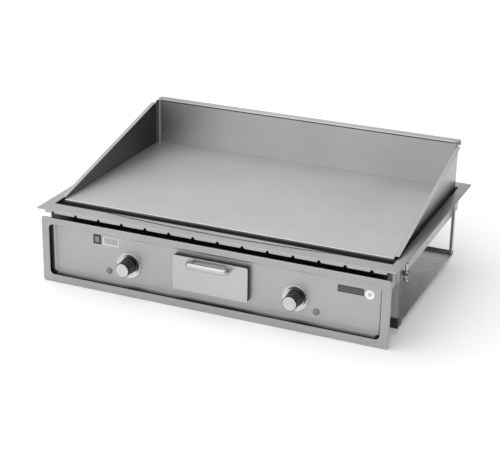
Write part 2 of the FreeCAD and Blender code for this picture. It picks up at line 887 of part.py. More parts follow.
def make_capillary():
    """Fine tube from the thermostat, through the wall and the box floor, to its bulb."""
    x, y = bulb_place(1)
    start_x = knob_x + thermostat_size / 2 - thermostat_corner
    rear = panel_back + thermostat_depth
    low = knob_z + capillary_rise
    z = plate_low - bulb_radius
    points = [(start_x, rear, low), (start_x, rear + capillary_step, low),
              (x, rear + 2 * capillary_step, low), (x, y, low), (x, y, z),
              (x + capillary_end, y, z)]
    bulb = rod(x + capillary_end, y, z, bulb_radius, bulb_length, (1, 0, 0))
    return join(tube_along(points, capillary_bend, capillary_radius), bulb)


def make_lamp_lens():
    profile = [(0, panel_face), (lamp_radius, panel_face), (lamp_radius, panel_face - lamp_rim),
               (lamp_shoulder, panel_face - lamp_dome + lamp_step),
               (lamp_tip, panel_face - lamp_dome), (0, panel_face - lamp_dome)]
    return spin_front(profile, lamp_x, lamp_z)


def make_lamp_barrel():
    barrel = rod(lamp_x, panel_face, lamp_z, lamp_barrel_radius, lamp_barrel_length, (0, 1, 0))
    nut = rod(lamp_x, panel_back, lamp_z, lamp_barrel_radius + lamp_nut_wall, lamp_nut_depth,
              (0, 1, 0))
    return join(barrel, nut)


# ---- grease drawer --------------------------------------------------------------------
def front_outline(y0, y1, shrink):
    half = front_width / 2 - shrink
    return rounded_block(drawer_x - half, drawer_x + half, y0, y1, front_low + shrink,
                         front_low + front_height - shrink, front_corner, V(0, 1, 0))


def handle_screw_places():
    return [drawer_x - handle_span / 2, drawer_x + handle_span / 2]


def make_drawer_front():
    """Bright face sheet of the drawer."""
    face = front_outline(drawer_face, drawer_face + front_gauge, 0)
    for x in handle_screw_places():
        face = face.cut(rod(x, drawer_face - 1, handle_z, handle_screw_radius, through_cut,
                            (0, 1, 0)))
    return face


def make_drawer_surround():
    """Dark ring that spaces the face sheet off the panel."""
    outer = front_outline(drawer_face + front_gauge, panel_face - front_gap, surround_inset)
    inner = front_outline(drawer_face, panel_face, surround_wall)
    return outer.cut(inner)


def make_drawer_pan():
    """Grease pan: open box with a rolled-out rim along its sides, flanged at the front."""
    g = drawer_gauge
    y0 = panel_face - front_gap - g
    outer = block(drawer_left, drawer_right, y0, drawer_back, drawer_low, drawer_high)
    inner = block(drawer_left + g, drawer_right - g, y0 + g, drawer_back - g, drawer_low + g,
                  drawer_high + 1)
    rim = block(drawer_left - drawer_rim, drawer_right + drawer_rim,
                panel_back + drawer_rim_start, drawer_back, drawer_high - g, drawer_high)
    rim = rim.cut(block(drawer_left + g, drawer_right - g, 0, drawer_back - g, 0, flange_top))
    y1 = panel_face - front_gap
    flange = front_outline(y1 - g, y1, surround_wall)
    return join(outer.cut(inner), flange).fuse(rim).removeSplitter()


def make_drawer_handle():
    """Bow handle bent from round bar."""
    half = handle_span / 2
    reach = drawer_face - handle_reach
    points = [(drawer_x - half, drawer_face, handle_z), (drawer_x - half, reach, handle_z),
              (drawer_x + half, reach, handle_z), (drawer_x + half, drawer_face, handle_z)]
    bow = tube_along(points, handle_bend, handle_radius)
    for x in handle_screw_places():
        bow = bow.cut(rod(x, drawer_face + front_gauge - handle_screw_depth, handle_z,
                          handle_screw_radius, handle_screw_depth, (0, 1, 0)))
    return bow


def make_handle_screws():
    """Screws from inside the face sheet into the handle's feet."""
    y = drawer_face + front_gauge
    screws = []
    for x in handle_screw_places():
        shank = rod(x, y - handle_screw_depth, handle_z, handle_screw_radius,
                    handle_screw_depth, (0, 1, 0))
        head = rod(x, y, handle_z, handle_screw_head_radius, handle_screw_head, (0, 1, 0))
        screws.append(join(shank, head))
    return Part.makeCompound(screws)


def make_runner(side):
    """Z-shaped runner on the pan floor that carries one side of the drawer."""
    g = runner_gauge
    wall_x = (drawer_right if side > 0 else -drawer_left) + drawer_rim + runner_side_gap
    y0 = wall_back + runner_front_gap
    y1 = drawer_back + runner_rear_gap
    foot = block(wall_x, wall_x + runner_foot, y0, y1, pan_top, pan_top + g)
    web = block(wall_x, wall_x + g, y0, y1, pan_top + g, drawer_high - runner_wall_drop)
    ledge_top = drawer_low - runner_lift
    ledge = block(wall_x - runner_ledge - drawer_rim, wall_x, y0, y1, ledge_top - g, ledge_top)
    stop = block(wall_x - runner_ledge, wall_x, y1 - g, y1, ledge_top,
                 drawer_low + runner_stop)
    shape = join(foot, web, ledge, stop)
    return shape if side > 0 else mirrored(shape)


# ---- field wiring ---------------------------------------------------------------------
def make_junction_box():
    """Wiring box on the pan floor with a conduit knock-out in its rear face."""
    g = junction_gauge
    h = junction_half
    outer = block(-h, h, junction_front, junction_rear, pan_top, pan_top + junction_height)
    inner = block(-h + g, h - g, junction_front + g, junction_rear - g, pan_top + g,
                  pan_top + junction_height + 1)
    box = outer.cut(inner)
    half_cut = through_cut / 2
    box = box.cut(rod(knockout_x, junction_rear - half_cut, junction_middle, knockout_radius,
                      through_cut, (0, 1, 0)))
    for side in (-1, 1):
        box = box.cut(rod(side * (h - half_cut), junction_front + loom_entry, loom_z,
                          loom_radius, through_cut, (side, 0, 0)))
    return box


def make_junction_cover():
    g = junction_gauge
    h = junction_half
    z = pan_top + junction_height
    lid = block(-h - g, h + g, junction_front - g, junction_rear + g, z, z + g)
    for side in (-1, 1):
        for x, y in element_ends()[1]:
            lid = lid.cut(rod(side * x, y, z - 1, lead_radius + lead_hole_gap, through_cut,
                              (0, 0, 1)))
    return lid


def make_terminal_block():
    """Two-row screw terminal strip inside the wiring box."""
    z = pan_top + junction_gauge
    y = junction_front + terminal_front
    top = z + terminal_height
    strip = block(-terminal_half, terminal_half, y, y + terminal_depth, z, top)
    for k in range(terminal_count):
        x = (k - (terminal_count - 1) / 2) * terminal_pitch
        head = block(x - screw_half, x + screw_half, y + screw_half,
                     y + terminal_depth - screw_half, top, top + screw_height)
        strip = join(strip, head)
    return strip


def make_conduit_bush():
    """Threaded bush through the knock-out, flanged outside."""
    y = junction_rear
    front = y - junction_gauge - bush_inside
    inner = knockout_radius - bush_wall
    outer = knockout_radius + bush_flange
    profile = [(inner, front), (knockout_radius, front), (knockout_radius, y), (outer, y),
               (outer, y + bush_flange), (inner, y + bush_flange)]
    return spin_front(profile, knockout_x, junction_middle)


def make_loom():
    """Right wiring loom: along the pan floor, then up and forward to the thermostat."""
    x, z = grommet_place(1)
    y = junction_front + loom_entry
    low = loom_z
    points = [(junction_half - junction_gauge - loom_inside, y, low), (loom_side, y, low),
              (loom_side, wall_y + loom_rise_start, low), (x, wall_y + loom_rise_end, z),
              (x, panel_back + thermostat_depth, z)]
    return tube_along(points, loom_bend, loom_radius)


def make_grommets():
    """Rubber rings where the looms pass the front wall."""
    rings = []
    for side in (-1, 1):
        x, z = grommet_place(side)
        inner = loom_radius
        groove = inner + grommet_wall
        outer = groove + grommet_flange
        front = wall_y - grommet_flange
        rear = wall_back + grommet_flange
        profile = [(inner, front), (outer, front), (outer, wall_y), (groove, wall_y),
                   (groove, wall_back), (outer, wall_back), (outer, rear), (inner, rear)]
        rings.append(spin_front(profile, x, z))
    return Part.makeCompound(rings)


def make_element_leads():
    """Sleeved leads from the element tails down into the wiring box."""
    top = box_floor - element_drop
    low = pan_top + junction_height - lead_inside
    leads = []
    for side in (-1, 1):
        for x, y in element_ends()[1]:
            leads.append(rod(side * x, y, low, lead_radius, top - low, (0, 0, 1)))
    return Part.makeCompound(leads)


# ---- counter clamps and blank plates --------------------------------------------------
def make_clamp_bracket():
    """Right hold-down bracket on the box wall, drilled for its bolt."""
    g = clamp_gauge
    x0 = open_half + box_gauge
    z0 = flange_top - clamp_drop
    y0 = clamp_y
    upright = block(x0, x0 + g, y0, y0 + clamp_width, z0, under_flange - clamp_top_gap)
    shelf = block(x0, x0 + clamp_reach, y0, y0 + clamp_width, z0, z0 + g)
    bolt = rod(clamp_bolt_x, y0 + clamp_width / 2, z0 - 1, clamp_bolt_radius, g + 2, (0, 0, 1))
    return join(upright, shelf).cut(bolt)


def make_clamp_bolt():
    """Bolt that draws the flange down on the counter, with its pad and locknut."""
    x = clamp_bolt_x
    y = clamp_y + clamp_width / 2
    shelf = flange_top - clamp_drop
    low = shelf - clamp_bolt_low
    high = shelf + clamp_bolt_high
    shank = rod(x, y, low, clamp_bolt_radius, high - low, (0, 0, 1))
    head = hexagon(x, y, low - clamp_head_height, clamp_bolt_flats, clamp_head_height)
    nut = hexagon(x, y, shelf + clamp_gauge, clamp_bolt_flats, clamp_nut_height)
    pad = rod(x, y, high, clamp_pad_radius, clamp_pad_height, (0, 0, 1))
    return join(shank, head, nut, pad)


def make_badge(x0, x1, drop_low, drop_high):
    """Blank plate on the control panel."""
    return rounded_block(x0, x1, panel_face - badge_gauge, panel_face, flange_top - drop_low,
                         flange_top - drop_high, badge_corner, V(0, 1, 0))


def make_round_badge():
    return rod(round_badge_x, panel_face - badge_gauge, flange_top - round_badge_drop,
               round_badge_radius, badge_gauge, (0, 1, 0))


# ---- every piece ----------------------------------------------------------------------
def both_sides(name, shape):
    """The right-hand piece and its mirror image, each a node."""
    return {"right_" + name: shape, "left_" + name: mirrored(shape)}


def pair(shape):
    """The right-hand piece and its mirror image in one node."""
    return Part.makeCompound([shape, mirrored(shape)])


def all_pieces():
    pieces = {
        "top_flange": make_top_flange(),
        "heater_box": make_heater_box(),
        "griddle_plate": make_griddle_plate(),
        "grease_trough": make_trough(),
        "insulation_board": make_insulation(),
        "plate_studs": make_studs(),
        "stud_nuts": make_stud_nuts(),
        "terminal_bushes": make_terminal_bushes(),
        "splash_back": make_splash_back(),
        "splash_rivets": make_splash_rivets(),
        "front_trim": make_front_trim(),
        "control_panel": make_control_panel(),
        "control_box": make_control_box(),
        "body_front_wall": make_body_wall(),
        "bottom_pan": make_bottom_pan(),
        "drawer_front": make_drawer_front(),
        "drawer_surround": make_drawer_surround(),
        "drawer_pan": make_drawer_pan(),
        "drawer_handle": make_drawer_handle(),
        "handle_screws": make_handle_screws(),
        "right_drawer_runner": make_runner(1),
        "left_drawer_runner": make_runner(-1),
        "junction_box": make_junction_box(),
        "junction_cover": make_junction_cover(),
        "terminal_block": make_terminal_block(),
        "conduit_bush": make_conduit_bush(),
        "wall_grommets": make_grommets(),
        "element_leads": make_element_leads(),
        "left_emblem_plate": make_badge(*emblem_plate),
        "left_rating_plate": make_badge(*rating_plate),
        "right_name_plate": make_badge(*name_plate),
        "right_round_badge": make_round_badge(),
        "plate_rails": pair(make_support_rail()),
        "element_clamps": pair(make_clamp_bars()),
        "corner_gussets": pair(make_corner_gusset()),
        "trim_brackets": make_trim_brackets(),
        "lamp_barrels": pair(make_lamp_barrel()),
        "capillaries": pair(make_capillary()),
        "counter_clamps": pair(make_clamp_bracket()),
        "clamp_bolts": pair(make_clamp_bolt()),
    }
    pieces.update(both_sides("heating_element", make_element()))
    pieces.update(both_sides("splash_side", make_splash_side()))
    pieces.update(both_sides("rear_strap", make_rear_strap()))
    pieces.update(both_sides("dial_ring", make_dial_ring()))
    pieces.update(both_sides("knob", make_knob()))
    pieces.update(both_sides("knob_insert", make_knob_insert()))
    pieces.update(both_sides("thermostat_shaft", make_shaft()))
    pieces.update(both_sides("thermostat", make_thermostat()))
    pieces.update(both_sides("lamp_lens", make_lamp_lens()))
    pieces.update(both_sides("wiring_loom", make_loom()))
    return pieces


def write(name, shape):
    """Move a piece into the part's frame and write its file."""
    placed = shape.copy()
    placed.translate(V(0, -y_middle, 0))
    placed.exportStep("parts/" + name + ".step")


os.makedirs("parts", exist_ok=True)
for name, shape in all_pieces().items():
    write(name, shape)
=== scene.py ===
import math

import bpy
import numpy as np
from mathutils import Matrix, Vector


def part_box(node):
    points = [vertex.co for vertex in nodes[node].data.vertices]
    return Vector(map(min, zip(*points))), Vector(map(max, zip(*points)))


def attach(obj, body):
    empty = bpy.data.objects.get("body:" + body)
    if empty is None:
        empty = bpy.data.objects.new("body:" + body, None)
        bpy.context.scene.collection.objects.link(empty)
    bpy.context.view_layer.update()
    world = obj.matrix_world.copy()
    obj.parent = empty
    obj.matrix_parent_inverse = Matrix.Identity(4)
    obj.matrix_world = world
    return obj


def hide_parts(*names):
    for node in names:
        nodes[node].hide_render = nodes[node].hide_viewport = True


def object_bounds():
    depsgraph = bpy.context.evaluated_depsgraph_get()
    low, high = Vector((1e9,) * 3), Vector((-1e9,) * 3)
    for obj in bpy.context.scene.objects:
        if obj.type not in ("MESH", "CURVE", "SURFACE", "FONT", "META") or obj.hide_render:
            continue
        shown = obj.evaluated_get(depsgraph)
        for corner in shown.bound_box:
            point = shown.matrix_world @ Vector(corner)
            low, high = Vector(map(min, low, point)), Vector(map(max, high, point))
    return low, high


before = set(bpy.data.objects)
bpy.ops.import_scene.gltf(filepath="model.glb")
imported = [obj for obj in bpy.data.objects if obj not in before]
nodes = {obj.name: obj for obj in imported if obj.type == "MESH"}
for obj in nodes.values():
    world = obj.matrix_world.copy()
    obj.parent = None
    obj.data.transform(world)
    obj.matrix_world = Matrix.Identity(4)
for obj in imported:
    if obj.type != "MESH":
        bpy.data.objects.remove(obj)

cad_low, cad_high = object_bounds()


# ---- The studio -----------------------------------------------------------------------
# A drop-in griddle standing on a pale seamless floor. One broad soft light hangs overhead
# and a little to the front; the room is brighter on the operator's left than on the right.
# A long lens looks down at it from the operator's right.
camera_azimuth, camera_elevation, camera_roll = np.radians([23.01, 21.96, 1.06])
back = np.array([math.sin(camera_azimuth) * math.cos(camera_elevation),
                 -math.cos(camera_azimuth) * math.cos(camera_elevation),
                 math.sin(camera_elevation)])
level = np.array([math.cos(camera_azimuth), math.sin(camera_azimuth), 0.0])
upright = np.cross(back, level)
across = math.cos(camera_roll) * level + math.sin(camera_roll) * upright
upwards = math.cos(camera_roll) * upright - math.sin(camera_roll) * level
aim, distance = np.array([0.053, -0.1759, 0.189]), 3.192
eye = aim + distance * back

lens = bpy.data.cameras.new("view_lens")
lens.lens = 97.3
lens.sensor_width = 36.0
lens.clip_end = 60.0
camera = bpy.data.objects.new("view", lens)
pose = np.eye(4)
pose[:3, 0], pose[:3, 1], pose[:3, 2], pose[:3, 3] = across, upwards, back, eye
camera.matrix_world = Matrix(pose.tolist())
bpy.context.scene.collection.objects.link(camera)
bpy.context.scene.camera = camera
bpy.context.scene.view_settings.view_transform = "Standard"


def put(name, points, faces, material, body=None):
    """A mesh from an array of points and an array or list of faces, smooth shaded except
    over corners sharper than 32 degrees."""
    mesh = bpy.data.meshes.new(name)
    mesh.from_pydata(np.reshape(points, (-1, 3)).tolist(), [], [list(f) for f in faces])
    mesh.update()
    mesh.shade_smooth()
    mesh.set_sharp_from_angle(angle=math.radians(32))
    mesh.materials.append(material)
    piece = bpy.data.objects.new(name, mesh)
    bpy.context.scene.collection.objects.link(piece)
    if body:
        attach(piece, body)
    return piece


def matte_floor():
    """Pale paint with a slow, faint change of tone. It glows a little, to stay pale in the
    object's shade."""
    material = bpy.data.materials.new("floor_paint")
    material.use_nodes = True
    tree = material.node_tree
    shader = tree.nodes["Principled BSDF"]
    shader.inputs["Roughness"].default_value = 0.9
    shader.inputs["Emission Color"].default_value = (1.0, 1.0, 1.0, 1.0)
    shader.inputs["Emission Strength"].default_value = 0.18
    place = tree.nodes.new("ShaderNodeTexCoord")
    cloud = tree.nodes.new("ShaderNodeTexNoise")
    cloud.inputs["Scale"].default_value = 0.8
    tone = tree.nodes.new("ShaderNodeMapRange")
    tone.inputs["To Min"].default_value = 0.90
    tone.inputs["To Max"].default_value = 0.92
    tree.links.new(place.outputs["Object"], cloud.inputs["Vector"])
    tree.links.new(cloud.outputs["Fac"], tone.inputs["Value"])
    tree.links.new(tone.outputs["Result"], shader.inputs["Base Color"])
    return material


reach = 14.0
floor = put("floor", [(-reach, -reach, cad_low.z), (reach, -reach, cad_low.z),
                      (reach, reach, cad_low.z), (-reach, reach, cad_low.z)],
            [(0, 1, 2, 3)], matte_floor())

overhead = bpy.data.lights.new("overhead_light", "SUN")
overhead.energy = 1.1
overhead.angle = math.radians(110)
overhead_stand = bpy.data.objects.new("overhead_light", overhead)
overhead_stand.rotation_euler = (math.radians(18), math.radians(-14), 0)
bpy.context.scene.collection.objects.link(overhead_stand)

world = bpy.data.worlds.new("room")
world.use_nodes = True
bpy.context.scene.world = world
room = world.node_tree
sky = room.nodes["Background"]
sky.inputs["Color"].default_value = (1.0, 1.0, 1.0, 1.0)
heading = room.nodes.new("ShaderNodeTexCoord")
parts = room.nodes.new("ShaderNodeSeparateXYZ")
sideways = room.nodes.new("ShaderNodeMath")
sideways.operation = "MULTIPLY_ADD"
sideways.inputs[1].default_value = 0.35
fade = room.nodes.new("ShaderNodeMapRange")
fade.interpolation_type = "SMOOTHSTEP"
fade.inputs["From Min"].default_value = -0.05
fade.inputs["From Max"].default_value = 0.65
fade.inputs["To Min"].default_value = 0.95
fade.inputs["To Max"].default_value = 0.12
room.links.new(heading.outputs["Generated"], parts.inputs["Vector"])
room.links.new(parts.outputs["Y"], sideways.inputs[0])
room.links.new(parts.outputs["X"], sideways.inputs[2])
room.links.new(sideways.outputs["Value"], fade.inputs["Value"])
room.links.new(fade.outputs["Result"], sky.inputs["Strength"])


# ---- Counter flange -------------------------------------------------------------------
# One 2 mm stainless sheet with the plate's opening cut in it, its edge rolled over, and a
# short lip turned down along the front. Slots in the lip let the hot air from behind out.
# It lies on the counter and carries everything below.
def sheet_metal(name, tones, roughness, grain, pitch=1.6, bump=0.04):
    """Brushed sheet. Noise drawn out along one axis makes the streaks: it moves the height
    and the roughness. Slow noise moves the tone between two greys, and small smudges of a
    third noise make handled spots a little rougher."""
    material = bpy.data.materials.new(name)
    material.use_nodes = True
    tree = material.node_tree
    link = tree.links.new
    shader = tree.nodes["Principled BSDF"]
    shader.inputs["Metallic"].default_value = 1.0
    place = tree.nodes.new("ShaderNodeTexCoord")
    draw = tree.nodes.new("ShaderNodeMapping")
    fine, stretch = 1000.0 / pitch, 60
    draw.inputs["Scale"].default_value = [fine / stretch if axis == grain else fine
                                          for axis in "XYZ"]
    streak = tree.nodes.new("ShaderNodeTexNoise")
    streak.inputs["Scale"].default_value = 1.0
    streak.inputs["Detail"].default_value = 3.0
    link(place.outputs["Object"], draw.inputs["Vector"])
    link(draw.outputs["Vector"], streak.inputs["Vector"])
    cloud = tree.nodes.new("ShaderNodeTexNoise")
    cloud.inputs["Scale"].default_value = 5.0
    cloud.inputs["Detail"].default_value = 4.0
    link(place.outputs["Object"], cloud.inputs["Vector"])
    smudge = tree.nodes.new("ShaderNodeTexNoise")
    smudge.inputs["Scale"].default_value = 22.0
    smudge.inputs["Detail"].default_value = 5.0
    link(place.outputs["Object"], smudge.inputs["Vector"])
    tone = tree.nodes.new("ShaderNodeMapRange")
    tone.inputs["From Min"].default_value = 0.3
    tone.inputs["From Max"].default_value = 0.7
    tone.inputs["To Min"].default_value = tones[0]
    tone.inputs["To Max"].default_value = tones[1]
    link(cloud.outputs["Fac"], tone.inputs["Value"])
    dull = tree.nodes.new("ShaderNodeMath")
    dull.operation = "MULTIPLY_ADD"
    swing = 0.10
    dull.inputs[1].default_value = swing
    dull.inputs[2].default_value = roughness - swing
    link(streak.outputs["Fac"], dull.inputs[0])
    handled = tree.nodes.new("ShaderNodeMath")
    handled.operation = "MULTIPLY_ADD"
    handled.inputs[1].default_value = swing
    link(smudge.outputs["Fac"], handled.inputs[0])
    link(dull.outputs["Value"], handled.inputs[2])
    relief = tree.nodes.new("ShaderNodeBump")
    relief.inputs["Strength"].default_value = bump
    relief.inputs["Distance"].default_value = 0.0005
    link(streak.outputs["Fac"], relief.inputs["Height"])
    link(tone.outputs["Result"], shader.inputs["Base Color"])
    link(handled.outputs["Value"], shader.inputs["Roughness"])
    link(relief.outputs["Normal"], shader.inputs["Normal"])
    return material


def paint_shade(material, axis, reach, tones, within=None):
    """Paints shade into a finish: it stands for shadow and dark reflections where a face meets
    a dark gap or a corner. The tone goes smoothly from tones[0] to tones[1] as the distance
    along one axis crosses reach. With within, the effect fades out as the absolute X goes
    from within[0] to within[1]."""
    tree = material.node_tree
    link = tree.links.new
    place = tree.nodes["Texture Coordinate"]
    shader = tree.nodes["Principled BSDF"]
    unshaded = shader.inputs["Base Color"].links[0].from_socket
    split = tree.nodes.new("ShaderNodeSeparateXYZ")
    link(place.outputs["Object"], split.inputs["Vector"])
    shade_ramp = tree.nodes.new("ShaderNodeMapRange")
    shade_ramp.interpolation_type = "SMOOTHSTEP"
    shade_ramp.inputs["From Min"].default_value = reach[0]
    shade_ramp.inputs["From Max"].default_value = reach[1]
    shade_ramp.inputs["To Min"].default_value = tones[0]
    shade_ramp.inputs["To Max"].default_value = tones[1]
    link(split.outputs[axis], shade_ramp.inputs["Value"])
    depth = shade_ramp.outputs["Result"]
    if within:
        side = tree.nodes.new("ShaderNodeMath")
        side.operation = "ABSOLUTE"
        link(split.outputs["X"], side.inputs[0])
        keep = tree.nodes.new("ShaderNodeMapRange")
        keep.inputs["From Min"].default_value = within[0]
        keep.inputs["From Max"].default_value = within[1]
        link(side.outputs["Value"], keep.inputs["Value"])
        blend = tree.nodes.new("ShaderNodeMix")
        blend.inputs["B"].default_value = 1.0
        link(keep.outputs["Result"], blend.inputs["Factor"])
        link(depth, blend.inputs["A"])
        depth = blend.outputs["Result"]
    over = tree.nodes.new("ShaderNodeMix")
    over.data_type = "RGBA"
    over.blend_type = "MULTIPLY"
    over.inputs["Factor"].default_value = 1.0
    link(unshaded, over.inputs["A"])
    link(depth, over.inputs["B"])
    link(over.outputs["Result"], shader.inputs["Base Color"])
    return material


def dress(material, *names):
    """Gives whole frame pieces a finish."""
    for name in names:
        for finish in nodes[name].material_slots:
            finish.material = material


def woven(rows, columns, wrap_rows=False, wrap_columns=False):
    """Quads of a grid of points, numbered row by row, closed on itself where asked."""
    r = np.arange(rows if wrap_rows else rows - 1)[:, None]
    c = np.arange(columns if wrap_columns else columns - 1)[None, :]
    r1, c1 = (r + 1) % rows, (c + 1) % columns
    corners = [r * columns + c, r * columns + c1, r1 * columns + c1, r1 * columns + c]
    return np.stack([corner + np.zeros_like(r * c) for corner in corners], -1).reshape(-1, 4)


def rounded_rings(x0, x1, y0, y1, corner, height, arc=8):
    """Rings round rounded rectangles, one for each entry of the arrays. A point is the
    centre of its corner's arc plus the radius times (cos a, sin a), a running over a
    quarter turn in each corner; every ring lies at its own height."""
    x0, x1, y0, y1, corner, height = [np.atleast_1d(np.asarray(v, float))[:, None] for v in
                                      np.broadcast_arrays(x0, x1, y0, y1, corner, height)]
    quarter = np.repeat(np.arange(4), arc)
    angle = (quarter + np.tile(np.linspace(0, 1, arc), 4)) * math.pi / 2
    right = np.isin(quarter, (0, 3))
    far = np.isin(quarter, (0, 1))
    x = np.where(right, x1 - corner, x0 + corner) + corner * np.cos(angle)
    y = np.where(far, y1 - corner, y0 + corner) + corner * np.sin(angle)
    return np.stack([x, y, height + 0 * x], -1)


def ease(piece, width):
    """Rounds the sharp edges of a piece so that they catch the light."""
    bevel = piece.modifiers.new("eased_edges", "BEVEL")
    bevel.width = width
    bevel.segments = 2
    bevel.limit_method = "ANGLE"
    bevel.angle_limit = math.radians(40)
    bevel.harden_normals = True
    return piece


def thicken(piece, gauge):
    """Gives a drawn middle surface its sheet thickness, half to each side."""
    wall = piece.modifiers.new("sheet_gauge", "SOLIDIFY")
    wall.thickness = gauge
    wall.offset = 0.0
    wall.use_even_offset = True
    return piece


flange_steel = sheet_metal("flange_steel", (0.40, 0.45), 0.36, "X")
# Painted shade: the flange's side strips, beyond |x| 0.425 to 0.44, darken a little towards the
# back.
paint_shade(flange_steel, "Y", (-0.22, 0.10), (1.0, 0.88), (0.440, 0.425))
flange_low, flange_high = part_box("top_flange")
box_low, box_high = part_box("heater_box")
gauge, box_wall = 0.002, 0.0015
flange_corner, opening_corner = 0.005, 0.001
softened, softened_height = 0.0004, 0.0003
opening = (box_low.x + box_wall, box_high.x - box_wall,
           box_low.y + box_wall, box_high.y - box_wall)
turn = np.linspace(math.pi / 2, -math.pi / 2, 9)
roll = gauge / 2
inset = roll - roll * np.cos(turn)
level_z = flange_high.z - roll + roll * np.sin(turn)
outer = rounded_rings(flange_low.x + inset, flange_high.x - inset, flange_low.y + inset,
                      flange_high.y - inset, flange_corner - inset, level_z)
underside = flange_high.z - gauge
inner_z = np.array([underside, underside + softened_height,
                    flange_high.z - softened_height, flange_high.z])
inner_grow = np.array([softened, 0.0, 0.0, softened])
inner = rounded_rings(opening[0] - inner_grow, opening[1] + inner_grow,
                      opening[2] - inner_grow, opening[3] + inner_grow, opening_corner,
                      inner_z)
rings = np.concatenate([outer, inner])
flange = put("flange_sheet", rings, woven(len(rings), rings.shape[1], True, True)[:, ::-1],
             flange_steel, "chassis")
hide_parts("top_flange")

lip_half, lip_drop = 0.433, 0.0075
slot_count, slot_pitch, slot_shift = 14, 0.0622, -0.006
slot_foot, slot_tip, slot_height = 0.0048, 0.0020, 0.0055
slot_places = (np.arange(slot_count) - (slot_count - 1) / 2) * slot_pitch + slot_shift
slot_edge = slot_places[:, None] + np.array([-slot_foot, -slot_tip, slot_tip, slot_foot])
slot_rise = np.tile([0.0, slot_height, slot_height, 0.0], slot_count)
lip_x = np.concatenate([[-lip_half], slot_edge.ravel(), [lip_half]])
lip_z = flange_high.z - lip_drop + np.concatenate([[0.0], slot_rise, [0.0]])
lip_rows = np.array([0.0, 1.0])[:, None]
lip_points = np.stack([np.broadcast_to(lip_x, (2, len(lip_x))),
                       np.full((2, len(lip_x)), flange_low.y + roll),
                       lip_z + (flange_high.z - roll - lip_z) * lip_rows], -1)
lip = put("flange_front_lip", lip_points, woven(2, len(lip_x)), flange_steel, "chassis")
lip_gauge = gauge - 0.0002
ease(thicken(lip, lip_gauge), 0.0003)


# ---- Heater box and heating -----------------------------------------------------------
# A welded box of plated sheet hangs from the flange. In it lie a mineral wool board, two
# tubular elements pressed up by flat bars on welded studs, and the angles that carry the
# plate. Ceramic beads insulate the element tails where they leave the floor.
def plated_sheet(name, tones, roughness):
    """Zinc plated sheet: crystal cells, each a little lighter or darker, with a faint
    roll grain over them."""
    material = sheet_metal(name, tones, roughness, "X", pitch=2.4, bump=0.03)
    tree = material.node_tree
    link = tree.links.new
    shader = tree.nodes["Principled BSDF"]
    place = tree.nodes["Texture Coordinate"]
    cells = tree.nodes.new("ShaderNodeTexVoronoi")
    cells.inputs["Scale"].default_value = 90.0
    link(place.outputs["Object"], cells.inputs["Vector"])
    mix = tree.nodes.new("ShaderNodeMapRange")
    mix.inputs["To Min"].default_value = tones[0]
    mix.inputs["To Max"].default_value = tones[1]
    grey = tree.nodes.new("ShaderNodeSeparateColor")
    link(cells.outputs["Color"], grey.inputs["Color"])
    link(grey.outputs["Red"], mix.inputs["Value"])
    link(mix.outputs["Result"], shader.inputs["Base Color"])
    return material


def speckled(name, low, high, roughness, scale, bump=0.2, metallic=0.0):
    """A cast, moulded, fibrous or painted surface: one noise moves the colour between two
    shades, and a finer one moves the height and the roughness."""
    material = bpy.data.materials.new(name)
    material.use_nodes = True
    tree = material.node_tree
    link = tree.links.new
    shader = tree.nodes["Principled BSDF"]
    shader.inputs["Metallic"].default_value = metallic
    place = tree.nodes.new("ShaderNodeTexCoord")
    grain = tree.nodes.new("ShaderNodeTexNoise")
    grain.inputs["Scale"].default_value = scale
    grain.inputs["Detail"].default_value = 4.0
    patch = tree.nodes.new("ShaderNodeTexNoise")
    patch.inputs["Scale"].default_value = scale / 12
    link(place.outputs["Object"], grain.inputs["Vector"])
    link(place.outputs["Object"], patch.inputs["Vector"])
    colour = tree.nodes.new("ShaderNodeMix")
    colour.data_type = "RGBA"
    colour.inputs["A"].default_value = (*low, 1)
    colour.inputs["B"].default_value = (*high, 1)
    link(patch.outputs["Fac"], colour.inputs["Factor"])
    dull = tree.nodes.new("ShaderNodeMath")
    dull.operation = "MULTIPLY_ADD"
    swing = 0.16
    dull.inputs[1].default_value = swing
    dull.inputs[2].default_value = roughness - swing / 2
    link(grain.outputs["Fac"], dull.inputs[0])
    relief = tree.nodes.new("ShaderNodeBump")
    relief.inputs["Strength"].default_value = bump
    relief.inputs["Distance"].default_value = 0.0004
    link(grain.outputs["Fac"], relief.inputs["Height"])
    link(colour.outputs["Result"], shader.inputs["Base Color"])
    link(dull.outputs["Value"], shader.inputs["Roughness"])
    link(relief.outputs["Normal"], shader.inputs["Normal"])
    return material


box_sheet = plated_sheet("box_sheet", (0.42, 0.50), 0.42)
# Painted shade: this finish turns dark at the heater box's front face and everywhere in front
# of it, standing for the shade seen through the gap under the flange.
paint_shade(box_sheet, "Y", (box_low.y + 0.0004, box_low.y + 0.0012), (0.16, 1.0))
dress(box_sheet, "heater_box", "plate_rails")
dress(speckled("mineral_wool", (0.50, 0.46, 0.38), (0.66, 0.62, 0.53), 0.95, 400, 0.9),
      "insulation_board")
dress(speckled("element_sheath", (0.06, 0.055, 0.05), (0.15, 0.13, 0.11), 0.55, 260, 0.3, 1.0),
      "left_heating_element", "right_heating_element")
zinc = speckled("zinc_hardware", (0.42, 0.42, 0.43), (0.58, 0.58, 0.57), 0.36, 500, 0.2, 1.0)
dress(zinc, "element_clamps", "plate_studs", "stud_nuts")
dress(speckled("steatite", (0.78, 0.75, 0.70), (0.88, 0.86, 0.82), 0.6, 700, 0.15),
      "terminal_bushes")


